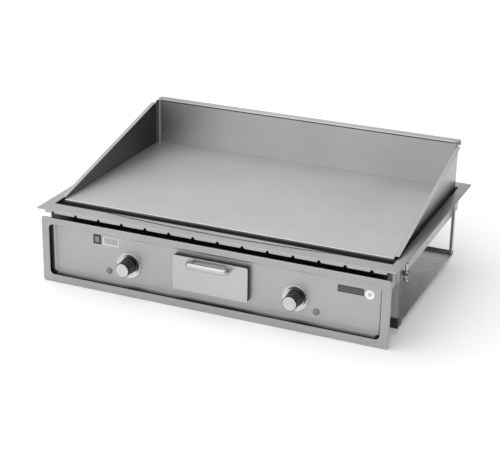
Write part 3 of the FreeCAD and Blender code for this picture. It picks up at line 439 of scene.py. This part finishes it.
# ---- Griddle plate --------------------------------------------------------------------
# A 19 mm steel plate, ground flat on top with fine lines from front to back and bevelled
# along its front edge. Heat and scraping leave it a little blotched and scratched.
def ground_plate():
    """Ground steel: close lines from front to back, broad heat clouds in the tone, and a
    few long thin scratches that are the ridge lines of a stretched noise."""
    material = sheet_metal("ground_plate", (0.56, 0.61), 0.50, "Y", pitch=1.1, bump=0.04)
    tree = material.node_tree
    link = tree.links.new
    place = tree.nodes["Texture Coordinate"]
    shader = tree.nodes["Principled BSDF"]
    long_way = tree.nodes.new("ShaderNodeMapping")
    long_way.inputs["Scale"].default_value = (160.0, 5.0, 5.0)
    long_way.inputs["Rotation"].default_value = (0.0, 0.0, 0.07)
    scratch = tree.nodes.new("ShaderNodeTexNoise")
    scratch.inputs["Scale"].default_value = 1.0
    scratch.inputs["Detail"].default_value = 1.0
    line = tree.nodes.new("ShaderNodeMapRange")
    line.inputs["From Min"].default_value = 0.66
    line.inputs["From Max"].default_value = 0.74
    link(place.outputs["Object"], long_way.inputs["Vector"])
    link(long_way.outputs["Vector"], scratch.inputs["Vector"])
    link(scratch.outputs["Fac"], line.inputs["Value"])
    lighter = tree.nodes.new("ShaderNodeMix")
    lighter.data_type = "RGBA"
    lighter.inputs["B"].default_value = (0.66, 0.66, 0.65, 1)
    cloudy = shader.inputs["Base Color"].links[0].from_socket
    faint = tree.nodes.new("ShaderNodeMath")
    faint.operation = "MULTIPLY"
    faint.inputs[1].default_value = 0.12
    link(line.outputs["Result"], faint.inputs[0])
    link(faint.outputs["Value"], lighter.inputs["Factor"])
    link(cloudy, lighter.inputs["A"])
    link(lighter.outputs["Result"], shader.inputs["Base Color"])
    return material


dress(ground_plate(), "griddle_plate")


# ---- Grease channel -------------------------------------------------------------------
# A trough of thin steel across the plate's front edge, darkened by grease and heat, with a
# chute that drops into the drawer. A bright lip with a bowed front edge is welded on its
# front side and lies on the flange. A thin dark bead along the bow is painted shade: it
# stands for the shadow line under the lip's edge.
seasoned_and_shade = speckled("seasoned_steel_and_shade", (0.040, 0.038, 0.036), (0.085, 0.082, 0.078), 0.5,
                    120, 0.25, 0.5)
trough_low, trough_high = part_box("grease_trough")
channel_front = opening[2]
channel_half = trough_high.x
channel_depth, channel_skin, channel_bend = 0.044, 0.0012, 0.003
channel_floor = flange_high.z - channel_depth
rear_rim_drop = 0.005
rear_rim = flange_high.z - rear_rim_drop
drawer_middle = (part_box("drawer_pan")[0].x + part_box("drawer_pan")[1].x) / 2
chute_half, chute_inset = 0.018, 0.006
chute = np.array([drawer_middle - chute_half, drawer_middle + chute_half,
                  channel_front + chute_inset, trough_high.y - chute_inset])
shell = np.array([-channel_half, channel_half, channel_front, trough_high.y])
inward = np.array([1.0, -1.0, 1.0, -1.0])
soft = np.array([1.0, 0.293, 0.0]) * channel_bend      # a bend at 0, 45 and 90 degrees
channel_rects = np.array(
    [chute, chute] + [shell + inward * grow for grow in soft] + [shell]
    + [shell + inward * channel_skin] + [shell + inward * (channel_skin + grow)
                                         for grow in soft[::-1]]
    + [chute + inward * channel_skin] * 2)
channel_z = np.concatenate([
    [trough_low.z, channel_floor], channel_floor + soft[::-1], [flange_high.z] * 2,
    channel_floor + channel_skin + soft, [channel_floor + channel_skin, trough_low.z]])
channel_corner, rear_strip = 0.0015, 0.0025
channel_rings = rounded_rings(*channel_rects.T, channel_corner, channel_z)
rear_side = channel_rings[..., 1] > trough_high.y - rear_strip
channel_rings[..., 2] = np.where(rear_side, np.minimum(channel_rings[..., 2], rear_rim),
                                 channel_rings[..., 2])
channel = put("grease_channel", channel_rings, woven(*channel_rings.shape[:2], True, True),
              seasoned_and_shade, "chassis")
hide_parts("grease_trough")

lip_reach, bowed_gauge = 0.290, 0.0008
bow_steps, bow_rows = 61, 4
bow = channel_front + channel_skin - trough_low.y
bow_radius = (lip_reach ** 2 + bow ** 2) / (2 * bow)
bow_angle = np.linspace(-1, 1, bow_steps) * math.asin(lip_reach / bow_radius)
bow_x = bow_radius * np.sin(bow_angle)
bow_y = trough_low.y + bow_radius * (1 - np.cos(bow_angle))
welded_side = channel_front + channel_skin
lip_share = np.linspace(0, 1, bow_rows)[:, None]
bowed = np.stack([np.broadcast_to(bow_x, (bow_rows, bow_steps)),
                  bow_y + (welded_side - bow_y) * lip_share,
                  np.full((bow_rows, bow_steps), trough_high.z - bowed_gauge / 2)], -1)
bowed_lip = put("trough_bowed_lip", bowed, woven(bow_rows, bow_steps), flange_steel,
                "chassis")
ease(thicken(bowed_lip, bowed_gauge), 0.0002)


def capped(rows, columns):
    """Quads round a tube of rings and one face over each of its ends."""
    last = (rows - 1) * columns
    ends = [list(range(columns))[::-1], list(range(last, last + columns))]
    return woven(rows, columns, wrap_columns=True).tolist() + ends


def tube(path, normal, binormal, radius, sides):
    """Rings carried along a path: each point is the path's point plus the radius times
    cos a along the normal and sin a along the binormal."""
    around = np.linspace(0, 2 * math.pi, sides, endpoint=False)[None, :, None]
    return (path[:, None, :] + radius * (np.cos(around) * normal[:, None, :]
                                         + np.sin(around) * binormal[:, None, :]))


# Painted shade: this dark bead stands for the shadow line along the lip's bowed edge.
bead_radius, bead_sides = 0.0008, 8
bead_path = np.stack([bow_x, bow_y,
                      np.full(bow_steps, flange_high.z + bead_radius / 2)], -1)
bead_normal = np.stack([-np.sin(bow_angle), np.cos(bow_angle), 0 * bow_x], -1)
bead_points = tube(bead_path, bead_normal, np.tile([0.0, 0.0, 1.0], (bow_steps, 1)),
                   bead_radius, bead_sides)
bead = put("trough_lip_shade_bead", bead_points, capped(bow_steps, bead_sides), seasoned_and_shade, "chassis")


# ---- Splash guard ---------------------------------------------------------------------
# Two long triangles of 1.5 mm stainless with a hem bent outward along the slope, and a back
# sheet whose ends are bent forward inside them and whose top is folded back and down.
splash_steel = sheet_metal("splash_steel", (0.40, 0.46), 0.36, "Y")
# Painted shade: on the splash sides' inner faces the tone falls from 0.66 at the front to 0.18
# at the back, standing for their shade and the dark reflections in them.
painted_inner_faces = (0.4236, 0.4239)
paint_shade(splash_steel, "Y", (-0.23, 0.29), (0.66, 0.18), painted_inner_faces)
back_steel = sheet_metal("splash_back_steel", (0.46, 0.52), 0.36, "X")
# Painted shade: the back sheet darkens towards its left end, into the corner.
paint_shade(back_steel, "X", (-0.42, -0.16), (0.70, 1.0))
splash_gauge = 0.0015
end_return = 0.016           # the back sheet's ends come this far forward of the plate's rear


def bend(start_angle, end_angle, radius, centre, count=6):
    """Points of an arc: centre plus radius times (cos a, sin a)."""
    a = np.linspace(start_angle, end_angle, count)
    return np.stack([centre[0] + radius * np.cos(a), centre[1] + radius * np.sin(a)], -1)


def splash_side(side):
    """A section carried from front to back. At each y the section goes up the wall, from
    the foot to the sloping line less the bend's radius, round the bend, and out along the
    hem; the height of its top is linear in y. Behind the notch only the wall goes on."""
    name = "right_splash_side" if side > 0 else "left_splash_side"
    low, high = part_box(name)
    inner = min(abs(low.x), abs(high.x)) + splash_gauge / 2
    outer = max(abs(low.x), abs(high.x))
    front, rear = low.y, high.y
    notch = rear - end_return
    tip_rise, radius = 0.023, 0.0018
    tip, peak = low.z + tip_rise, high.z
    wall_steps, hem_rows, plain_rows = 8, 24, 3
    arc = bend(math.pi, math.pi / 2, radius, (inner + radius, -radius))
    section_x = np.concatenate([np.full(wall_steps, inner), arc[:, 0], [outer]])
    wall = np.linspace(0, 1, wall_steps)

    def rows(y, whole):
        top = tip + (peak - tip) * (y - front) / (rear - front) - splash_gauge / 2
        shoulder = top - radius
        wall_z = low.z + (shoulder - low.z)[:, None] * wall
        bend_z = shoulder[:, None] + radius + arc[:, 1]
        z = np.concatenate([wall_z, bend_z, top[:, None]], 1)
        if not whole:
            z = np.concatenate([wall_z, top[:, None]], 1)
        x = section_x if whole else np.full(wall_steps + 1, inner)
        return np.stack([side * np.broadcast_to(x, z.shape),
                         np.broadcast_to(y[:, None], z.shape), z], -1)

    hemmed = rows(np.linspace(front, notch, hem_rows), True)
    plain = rows(np.linspace(notch, rear, plain_rows), False)
    first = woven(*hemmed.shape[:2])
    second = woven(*plain.shape[:2]) + hemmed[..., 0].size
    points = np.concatenate([hemmed.reshape(-1, 3), plain.reshape(-1, 3)])
    piece = put(name.replace("side", "sheet"), points, np.concatenate([first, second]),
                splash_steel, "chassis")
    merge = piece.modifiers.new("joined_rows", "WELD")
    merge.merge_threshold = 0.00005
    ease(thicken(piece, splash_gauge), 0.0003)
    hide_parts(name)


splash_side(1)
splash_side(-1)

back_low, back_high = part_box("splash_back")
side_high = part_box("griddle_plate")[1]
half = side_high.x - splash_gauge / 2
rear_face = side_high.y - splash_gauge / 2
corner = 0.00725
wall_top = back_high.z - splash_gauge
left_turn = bend(math.pi, math.pi / 2, corner, (-half + corner, rear_face - corner), 7)
right_turn = bend(math.pi / 2, 0.0, corner, (half - corner, rear_face - corner), 7)
plan = np.concatenate([[(-half, side_high.y - end_return)], left_turn, right_turn,
                       [(half, side_high.y - end_return)]])
back_rows = 6
grid = (back_rows, len(plan))
wall_z = np.linspace(back_low.z, wall_top, back_rows)
wall_points = np.stack([np.broadcast_to(plan[:, 0], grid), np.broadcast_to(plan[:, 1], grid),
                        np.broadcast_to(wall_z[:, None], grid)], -1)
back_wall = put("splash_back_wall", wall_points, woven(*grid), back_steel, "chassis")
ease(thicken(back_wall, splash_gauge), 0.0003)
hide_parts("splash_back")

top_z = back_high.z - splash_gauge / 2
fold, fold_overlap, fold_drop = 0.0022, 0.004, 0.016
rear_y = back_high.y - splash_gauge / 2
front_fold = bend(math.pi, math.pi / 2, fold, (rear_face + fold, top_z - fold), 5)
rear_fold = bend(math.pi / 2, 0.0, fold, (rear_y - fold, top_z - fold), 5)
cap_section = np.concatenate([[(rear_face, wall_top - fold_overlap)], front_fold,
                              rear_fold, [(rear_y, back_high.z - fold_drop)]])
cap_half = np.where(cap_section[:, 0] < rear_face + fold, half - corner, back_high.x)
cap_share = np.array([-1.0, -0.5, 0.0, 0.5, 1.0])
grid = (len(cap_share), len(cap_section))
cap_points = np.stack([cap_share[:, None] * cap_half,
                       np.broadcast_to(cap_section[:, 0], grid),
                       np.broadcast_to(cap_section[:, 1], grid)], -1)
back_cap = put("splash_back_fold", cap_points, woven(*grid), back_steel, "chassis")
ease(thicken(back_cap, splash_gauge), 0.0003)
dress(zinc, "splash_rivets")


# ---- Front trim and control panel -----------------------------------------------------
# A flat stainless frame with folded-back edges, and behind it a panel pressed 15 mm deep
# with large radii. The frame hangs from the flange by angle brackets. A sheet box closes
# the space behind the panel.
trim_steel = sheet_metal("trim_steel", (0.38, 0.43), 0.38, "X")
panel_steel = sheet_metal("panel_steel", (0.425, 0.465), 0.44, "X")
panel_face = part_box("left_dial_ring")[1].y
recess_ends = (0.4110, 0.4105)
# Painted shade: the control panel turns dark more than 8 to 10 mm in front of its face, on the
# front part of the recess walls.
paint_shade(panel_steel, "Y", (panel_face - 0.0100, panel_face - 0.0080), (0.12, 1.0))
# Painted shade: at the recess's ends, beyond |x| 0.4105 to 0.411, the walls turn dark more than
# 0.4 to 2.6 mm in front of the panel's face.
paint_shade(panel_steel, "Y", (panel_face - 0.0026, panel_face - 0.0004), (0.08, 1.0), recess_ends)
trim_low, trim_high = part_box("front_trim")
panel_low, panel_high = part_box("control_panel")
# Painted shade: the panel darkens towards its bottom edge, into the recess's lower bend.
paint_shade(panel_steel, "Z", (panel_low.z + 0.001, panel_low.z + 0.015), (0.30, 1.0))
trim_gauge, skin, fold_radius = 0.0015, 0.0012, 0.0022
frame_corner, least_corner, recess_corner = 0.005, 0.001, 0.011
half_gauge = trim_gauge / 2
corner_points = 10
quarter = np.linspace(0, math.pi / 2, 6)
fold_inset = np.concatenate([[half_gauge], half_gauge + fold_radius * (1 - np.cos(quarter))])
fold_depth = np.concatenate([[trim_high.y], trim_low.y + half_gauge
                             + fold_radius * (1 - np.sin(quarter))])
fold_rings = rounded_rings(trim_low.x + fold_inset, trim_high.x - fold_inset,
                           trim_low.z + fold_inset, trim_high.z - fold_inset,
                           np.maximum(frame_corner - fold_inset, least_corner), fold_depth,
                           corner_points)
lip_ring = rounded_rings(panel_low.x + skin, panel_high.x - skin, panel_low.z + skin,
                         panel_high.z - skin, recess_corner, trim_low.y + half_gauge,
                         corner_points)
trim_rings = np.concatenate([fold_rings, lip_ring])[..., [0, 2, 1]]
trim = put("front_frame", trim_rings, woven(len(trim_rings), trim_rings.shape[1],
                                            wrap_columns=True), trim_steel, "chassis")
ease(thicken(trim, trim_gauge), 0.0003)
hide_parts("front_trim")
dress(panel_steel, "control_panel")
dress(box_sheet, "control_box", "trim_brackets")


# ---- Body under the flange ------------------------------------------------------------
# A front wall and a shallow floor pan of plated sheet, hung at the back on two angle
# straps, with black painted shoes over the lower front corners. Painted shade darkens the
# wall's right end and the pan's rim, where they face dark gaps, and painted light raises
# the wall's tone above the other plated sheets.
body_sheet = plated_sheet("body_sheet", (0.42, 0.50), 0.44)
dress(body_sheet, "left_rear_strap", "right_rear_strap")
pan_sheet = plated_sheet("pan_sheet", (0.44, 0.52), 0.46)
pan_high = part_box("bottom_pan")[1]
# Painted shade: the pan darkens along the top of its rim.
paint_shade(pan_sheet, "Z", (pan_high.z - 0.0030, pan_high.z - 0.0005), (1.0, 0.35))
dress(pan_sheet, "bottom_pan")
# Painted light: this plated sheet's tone is set well above the others, so that the wall, lit
# only through a gap, reads lighter.
wall_sheet = plated_sheet("wall_sheet", (0.70, 0.78), 0.50)
wall_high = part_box("body_front_wall")[1]
# Painted shade: the wall's right end face is darkened.
paint_shade(wall_sheet, "X", (wall_high.x - 0.0008, wall_high.x - 0.0002), (1.0, 0.22))
dress(wall_sheet, "body_front_wall")
black_paint_and_shade = speckled("black_paint_and_shade", (0.012, 0.012, 0.012), (0.02, 0.02, 0.02), 0.5, 300,
                       0.15)
dress(black_paint_and_shade, "corner_gussets")


# ---- Dial rings -----------------------------------------------------------------------
# Dished rings of polished steel, spun from one sheet each and pressed on the panel round
# the knobs.
def turned(profile, centre, count=96, shape=None):
    """A profile of (radius, y) pairs turned about an axis that runs front to back: a point
    is the centre plus radius times (cos a, sin a) in x and z. shape scales the radii by
    angle and by place along the profile."""
    profile = np.asarray(profile, float)
    angle = np.linspace(2 * math.pi, 0, count, endpoint=False)[:, None]
    radius = profile[:, 0] * (1.0 if shape is None else shape(angle, profile))
    return np.stack([centre[0] + radius * np.cos(angle),
                     profile[:, 1] + 0 * angle,
                     centre[1] + radius * np.sin(angle)], -1)


def middle(low, high):
    """Middle of a box seen from the front, as (x, z)."""
    return (low.x + high.x) / 2, (low.z + high.z) / 2


polished = speckled("polished_steel", (0.58, 0.58, 0.58), (0.68, 0.68, 0.67), 0.20, 900,
                    0.02, 1.0)


def dial_ring(name):
    """Outer wall, rounded crest, long inner slope and flat, closed along the panel."""
    low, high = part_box(name)
    outer = (high.x - low.x) / 2
    crest_radius, bore, flat_skin = 0.0012, 0.0056, 0.0015
    crest = bend(0, math.pi, crest_radius, (outer - crest_radius, 0), 7)
    profile = np.concatenate([
        [(bore, high.y), (outer, high.y)],
        np.stack([crest[:, 0], low.y + crest_radius - crest[:, 1]], -1),
        [(outer - 0.005, low.y + 0.0014), (outer - 0.0085, low.y + 0.0027),
         (outer - 0.010, high.y - flat_skin), (bore, high.y - flat_skin)]])
    points = turned(profile, middle(low, high))
    piece = put(name + "_polished", points, woven(*points.shape[:2], True, True), polished,
                "chassis")
    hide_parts(name)


dial_ring("left_dial_ring")
dial_ring("right_dial_ring")


# ---- Knobs ----------------------------------------------------------------------------
# Moulded black knobs with shallow scallops round the grip and a plain skirt, a spun metal
# disc let into the face, pushed on the thermostat's flatted shaft.
knob_black = speckled("knob_black", (0.005, 0.005, 0.005), (0.009, 0.009, 0.009), 0.42, 1100,
                      0.12)
spun = speckled("spun_disc", (0.52, 0.52, 0.52), (0.66, 0.66, 0.66), 0.26, 700, 0.05, 1.0)


def close_poles(piece):
    """Merges the points that a turned profile leaves on its axis."""
    weld = piece.modifiers.new("closed_poles", "WELD")
    weld.merge_threshold = 0.00002
    return piece


def knob(name, body):
    """A turned profile whose radius is cut by twelve scallops: it is multiplied by
    1 - depth * (0.5 + 0.5 cos 12a) ** 1.5, and they fade out towards skirt and face."""
    low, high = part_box(name)
    wide = (high.x - low.x) / 2
    front, base = low.y, high.y
    disc, disc_recess = 0.0166, 0.0012
    nose_radius, taper = 0.0015, 0.0015
    flutes, flute_depth = 12, 0.055
    grip = wide - taper
    nose = bend(0, math.pi / 2, nose_radius, (grip - nose_radius, 0), 6)
    profile = np.concatenate([
        [(0.0, base), (wide - 0.0005, base), (wide, base - 0.0005), (wide, base - 0.004),
         (wide - 0.0006, base - 0.0047), (wide - 0.0012, base - 0.006)],
        np.stack([np.linspace(wide - 0.0013, grip, 8),
                  np.linspace(base - 0.008, front + 0.003, 8)], -1),
        np.stack([nose[:, 0], front + nose_radius - nose[:, 1]], -1),
        [(disc, front), (disc, front + disc_recess), (0.0, front + disc_recess)]])

    def scallops(angle, profile):
        place = (profile[:, 1] - front) / (base - front)
        reach = np.clip((0.80 - place) / 0.25, 0, 1) * (profile[:, 0] > disc + nose_radius)
        ridge = (0.5 + 0.5 * np.cos(flutes * angle)) ** 1.5
        return 1 - flute_depth * reach * ridge

    points = turned(profile, middle(low, high), 144, scallops)
    piece = close_poles(put(name + "_moulding", points, woven(*points.shape[:2], True),
                            knob_black, body))
    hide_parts(name)


def face_disc(name, body):
    """A turned disc with a raised rim and three fine spun steps."""
    low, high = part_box(name)
    wide = (high.x - low.x) / 2
    proud = low.y
    profile = [(0.0, high.y), (wide, high.y), (wide, proud + 0.0005), (wide - 0.0004, proud),
               (wide - 0.0015, proud), (wide - 0.0021, proud + 0.0004),
               (wide - 0.008, proud + 0.0006), (wide - 0.0083, proud + 0.0004),
               (0.004, proud + 0.0004), (0.0, proud + 0.0004)]
    points = turned(profile, middle(low, high), 72)
    piece = close_poles(put(name + "_spun", points, woven(*points.shape[:2], True), spun, body))
    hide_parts(name)


for hand in ("left", "right"):
    knob(hand + "_knob", hand + "_control")
    face_disc(hand + "_knob_insert", hand + "_control")
dress(zinc, "left_thermostat_shaft", "right_thermostat_shaft")
dress(speckled("switch_moulding", (0.03, 0.028, 0.026), (0.05, 0.046, 0.042), 0.5, 500, 0.2),
      "left_thermostat", "right_thermostat", "terminal_block", "lamp_barrels")
dress(speckled("capillary_copper", (0.42, 0.22, 0.12), (0.60, 0.34, 0.20), 0.32, 500, 0.1, 1.0),
      "capillaries")


# ---- Pilot lamps ----------------------------------------------------------------------
# Small smoky plastic lenses with a stepped rim, one beside each knob. Each is screwed
# through the panel on a barrel behind it.
lamp_plastic = speckled("lamp_plastic", (0.17, 0.165, 0.16), (0.25, 0.24, 0.235), 0.25, 900,
                        0.05)
rim_depth, dome_depth = 0.002, 0.003
for hand in ("left", "right"):
    lamp_low, lamp_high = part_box(hand + "_lamp_lens")
    rim = (lamp_high.x - lamp_low.x) / 2
    dome = bend(0, math.pi / 2, 1.0, (0, 0), 8)
    lens_profile = np.concatenate([
        [(0.0, lamp_high.y), (rim, lamp_high.y), (rim, lamp_high.y - 0.0014),
         (rim - 0.0004, lamp_high.y - 0.0018), (rim - 0.0016, lamp_high.y - 0.0018)],
        np.stack([dome[:, 0] * (rim - 0.0018),
                  lamp_high.y - rim_depth - dome[:, 1] * dome_depth], -1)])
    lens_points = turned(lens_profile, middle(lamp_low, lamp_high), 48)
    lens_piece = close_poles(put(hand + "_lamp_dome", lens_points,
                                 woven(*lens_points.shape[:2], True), lamp_plastic,
                                 "chassis"))
    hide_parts(hand + "_lamp_lens")


# ---- Grease drawer --------------------------------------------------------------------
# A formed pan on two runners, with a bright face sheet held off the panel by a black ring
# and a bow handle screwed on from behind. The ring's black is painted shade: it stands for
# the shadow and dark reflections on the sides of the proud face.
face_steel = sheet_metal("drawer_face_steel", (0.50, 0.54), 0.34, "X")
face_low, face_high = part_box("drawer_front")
edge_radius, face_margin = 0.0008, 0.003
face_corner, least_corner = 0.005, 0.002
edge = bend(0, math.pi / 2, edge_radius, (0, 0), 5)
face_inset = np.concatenate([[face_margin, 0.0], edge_radius - edge[:, 0], [face_margin]])
face_y = np.concatenate([[face_high.y, face_high.y], face_low.y + edge_radius - edge[:, 1],
                         [face_low.y]])
face_rings = rounded_rings(face_low.x + face_inset, face_high.x - face_inset,
                           face_low.z + face_inset, face_high.z - face_inset,
                           np.maximum(face_corner - face_inset, least_corner),
                           face_y, 8)[..., [0, 2, 1]]
face = put("drawer_face_sheet", face_rings, capped(*face_rings.shape[:2]), face_steel,
           "grease_drawer")
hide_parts("drawer_front")
# Painted shade: the surround is black to stand for the shadow and dark reflections on the
# face's sides.
dress(black_paint_and_shade, "drawer_surround")
dress(sheet_metal("drawer_pan_steel", (0.44, 0.52), 0.38, "Y"), "drawer_pan")
dress(zinc, "handle_screws")
dress(box_sheet, "left_drawer_runner", "right_drawer_runner")
handle_steel = sheet_metal("handle_steel", (0.52, 0.60), 0.24, "X", pitch=0.8)
bar_low, bar_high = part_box("drawer_handle")
bar = (bar_high.z - bar_low.z) / 2
bar_z = (bar_high.z + bar_low.z) / 2
bend_radius = 0.010
foot_x = (bar_high.x - bar_low.x) / 2 - bar
bar_y = bar_low.y + bar
bar_sides = 28
swing = np.linspace(0, math.pi / 2, 12)
half_path = np.concatenate([
    [(foot_x, bar_high.y), (foot_x, (bar_high.y + bar_y + bend_radius) / 2)],
    np.stack([foot_x - bend_radius + bend_radius * np.cos(swing),
              bar_y + bend_radius - bend_radius * np.sin(swing)], -1),
    [(foot_x * 0.4, bar_y)]])
flat_path = np.concatenate([half_path, (half_path * [-1, 1])[::-1]])
heading = np.gradient(flat_path, axis=0)
heading /= np.linalg.norm(heading, axis=1, keepdims=True)
bar_path = np.stack([flat_path[:, 0] + (bar_high.x + bar_low.x) / 2, flat_path[:, 1],
                     np.full(len(flat_path), bar_z)], -1)
bar_normal = np.stack([-heading[:, 1], heading[:, 0], 0 * heading[:, 0]], -1)
bar_rings = tube(bar_path, bar_normal, np.tile([0.0, 0.0, 1.0], (len(flat_path), 1)), bar,
                 bar_sides)
handle = put("drawer_bow_handle", bar_rings, capped(len(flat_path), bar_sides), handle_steel,
             "grease_drawer")
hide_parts("drawer_handle")


# ---- Blank plates ---------------------------------------------------------------------
# Four thin enamelled plates glued on the panel, three square and one round. They are blank:
# each has a plain rim round a field of another tone.
def framed_enamel(name, rim, field, width, power):
    """Enamel with a plain rim round a field of another tone. The field is where
    (|x - x0| / hx) ** power + (|z - z0| / hz) ** power is below 1, hx and hz being the
    plate's half sizes less the rim's width: power 2 is round and a high power is square."""
    low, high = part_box(name)
    material = speckled(name + "_enamel", (rim,) * 3, (rim * 1.1,) * 3, 0.35, 800, 0.05)
    tree = material.node_tree
    link = tree.links.new
    shader = tree.nodes["Principled BSDF"]
    split = tree.nodes.new("ShaderNodeSeparateXYZ")
    link(tree.nodes["Texture Coordinate"].outputs["Object"], split.inputs["Vector"])
    terms = []
    for axis in "XZ":
        row = "XYZ".index(axis)
        half_size = (high[row] - low[row]) / 2 - width
        scaled = tree.nodes.new("ShaderNodeMath")
        scaled.operation = "MULTIPLY_ADD"
        scaled.inputs[1].default_value = 1 / half_size
        scaled.inputs[2].default_value = -(high[row] + low[row]) / 2 / half_size
        link(split.outputs[axis], scaled.inputs[0])
        plain = tree.nodes.new("ShaderNodeMath")
        plain.operation = "ABSOLUTE"
        link(scaled.outputs["Value"], plain.inputs[0])
        raised = tree.nodes.new("ShaderNodeMath")
        raised.operation = "POWER"
        raised.inputs[1].default_value = power
        link(plain.outputs["Value"], raised.inputs[0])
        terms.append(raised)
    total = tree.nodes.new("ShaderNodeMath")
    link(terms[0].outputs["Value"], total.inputs[0])
    link(terms[1].outputs["Value"], total.inputs[1])
    inside = tree.nodes.new("ShaderNodeMath")
    inside.operation = "LESS_THAN"
    inside.inputs[1].default_value = 1.0
    link(total.outputs["Value"], inside.inputs[0])
    enamel = tree.nodes.new("ShaderNodeMix")
    enamel.data_type = "RGBA"
    enamel.inputs["B"].default_value = (field, field, field, 1)
    link(inside.outputs["Value"], enamel.inputs["Factor"])
    link(shader.inputs["Base Color"].links[0].from_socket, enamel.inputs["A"])
    link(enamel.outputs["Result"], shader.inputs["Base Color"])
    dress(material, name)


square, rounded = 20, 2
framed_enamel("left_emblem_plate", 0.022, 0.22, 0.0048, square)
framed_enamel("left_rating_plate", 0.70, 0.42, 0.0028, square)
framed_enamel("right_name_plate", 0.045, 0.075, 0.0022, square)
framed_enamel("right_round_badge", 0.90, 0.55, 0.0060, rounded)


# ---- Wiring ---------------------------------------------------------------------------
# A sheet wiring box on the pan with its cover, terminal block and conduit bush, and sleeved
# looms that run to the thermostats through rubber grommets.
dress(box_sheet, "junction_box", "junction_cover")
dress(zinc, "conduit_bush")
dress(speckled("woven_sleeve", (0.20, 0.19, 0.17), (0.36, 0.34, 0.31), 0.9, 900, 0.7),
      "left_wiring_loom", "right_wiring_loom", "element_leads")
dress(speckled("grommet_rubber", (0.02, 0.02, 0.02), (0.03, 0.03, 0.03), 0.7, 600, 0.2),
      "wall_grommets")


# ---- Counter clamps -------------------------------------------------------------------
# Angle brackets spot-welded to the heater box, each with a bolt that pulls the flange down
# on the counter.
dress(box_sheet, "counter_clamps")
dress(zinc, "clamp_bolts")
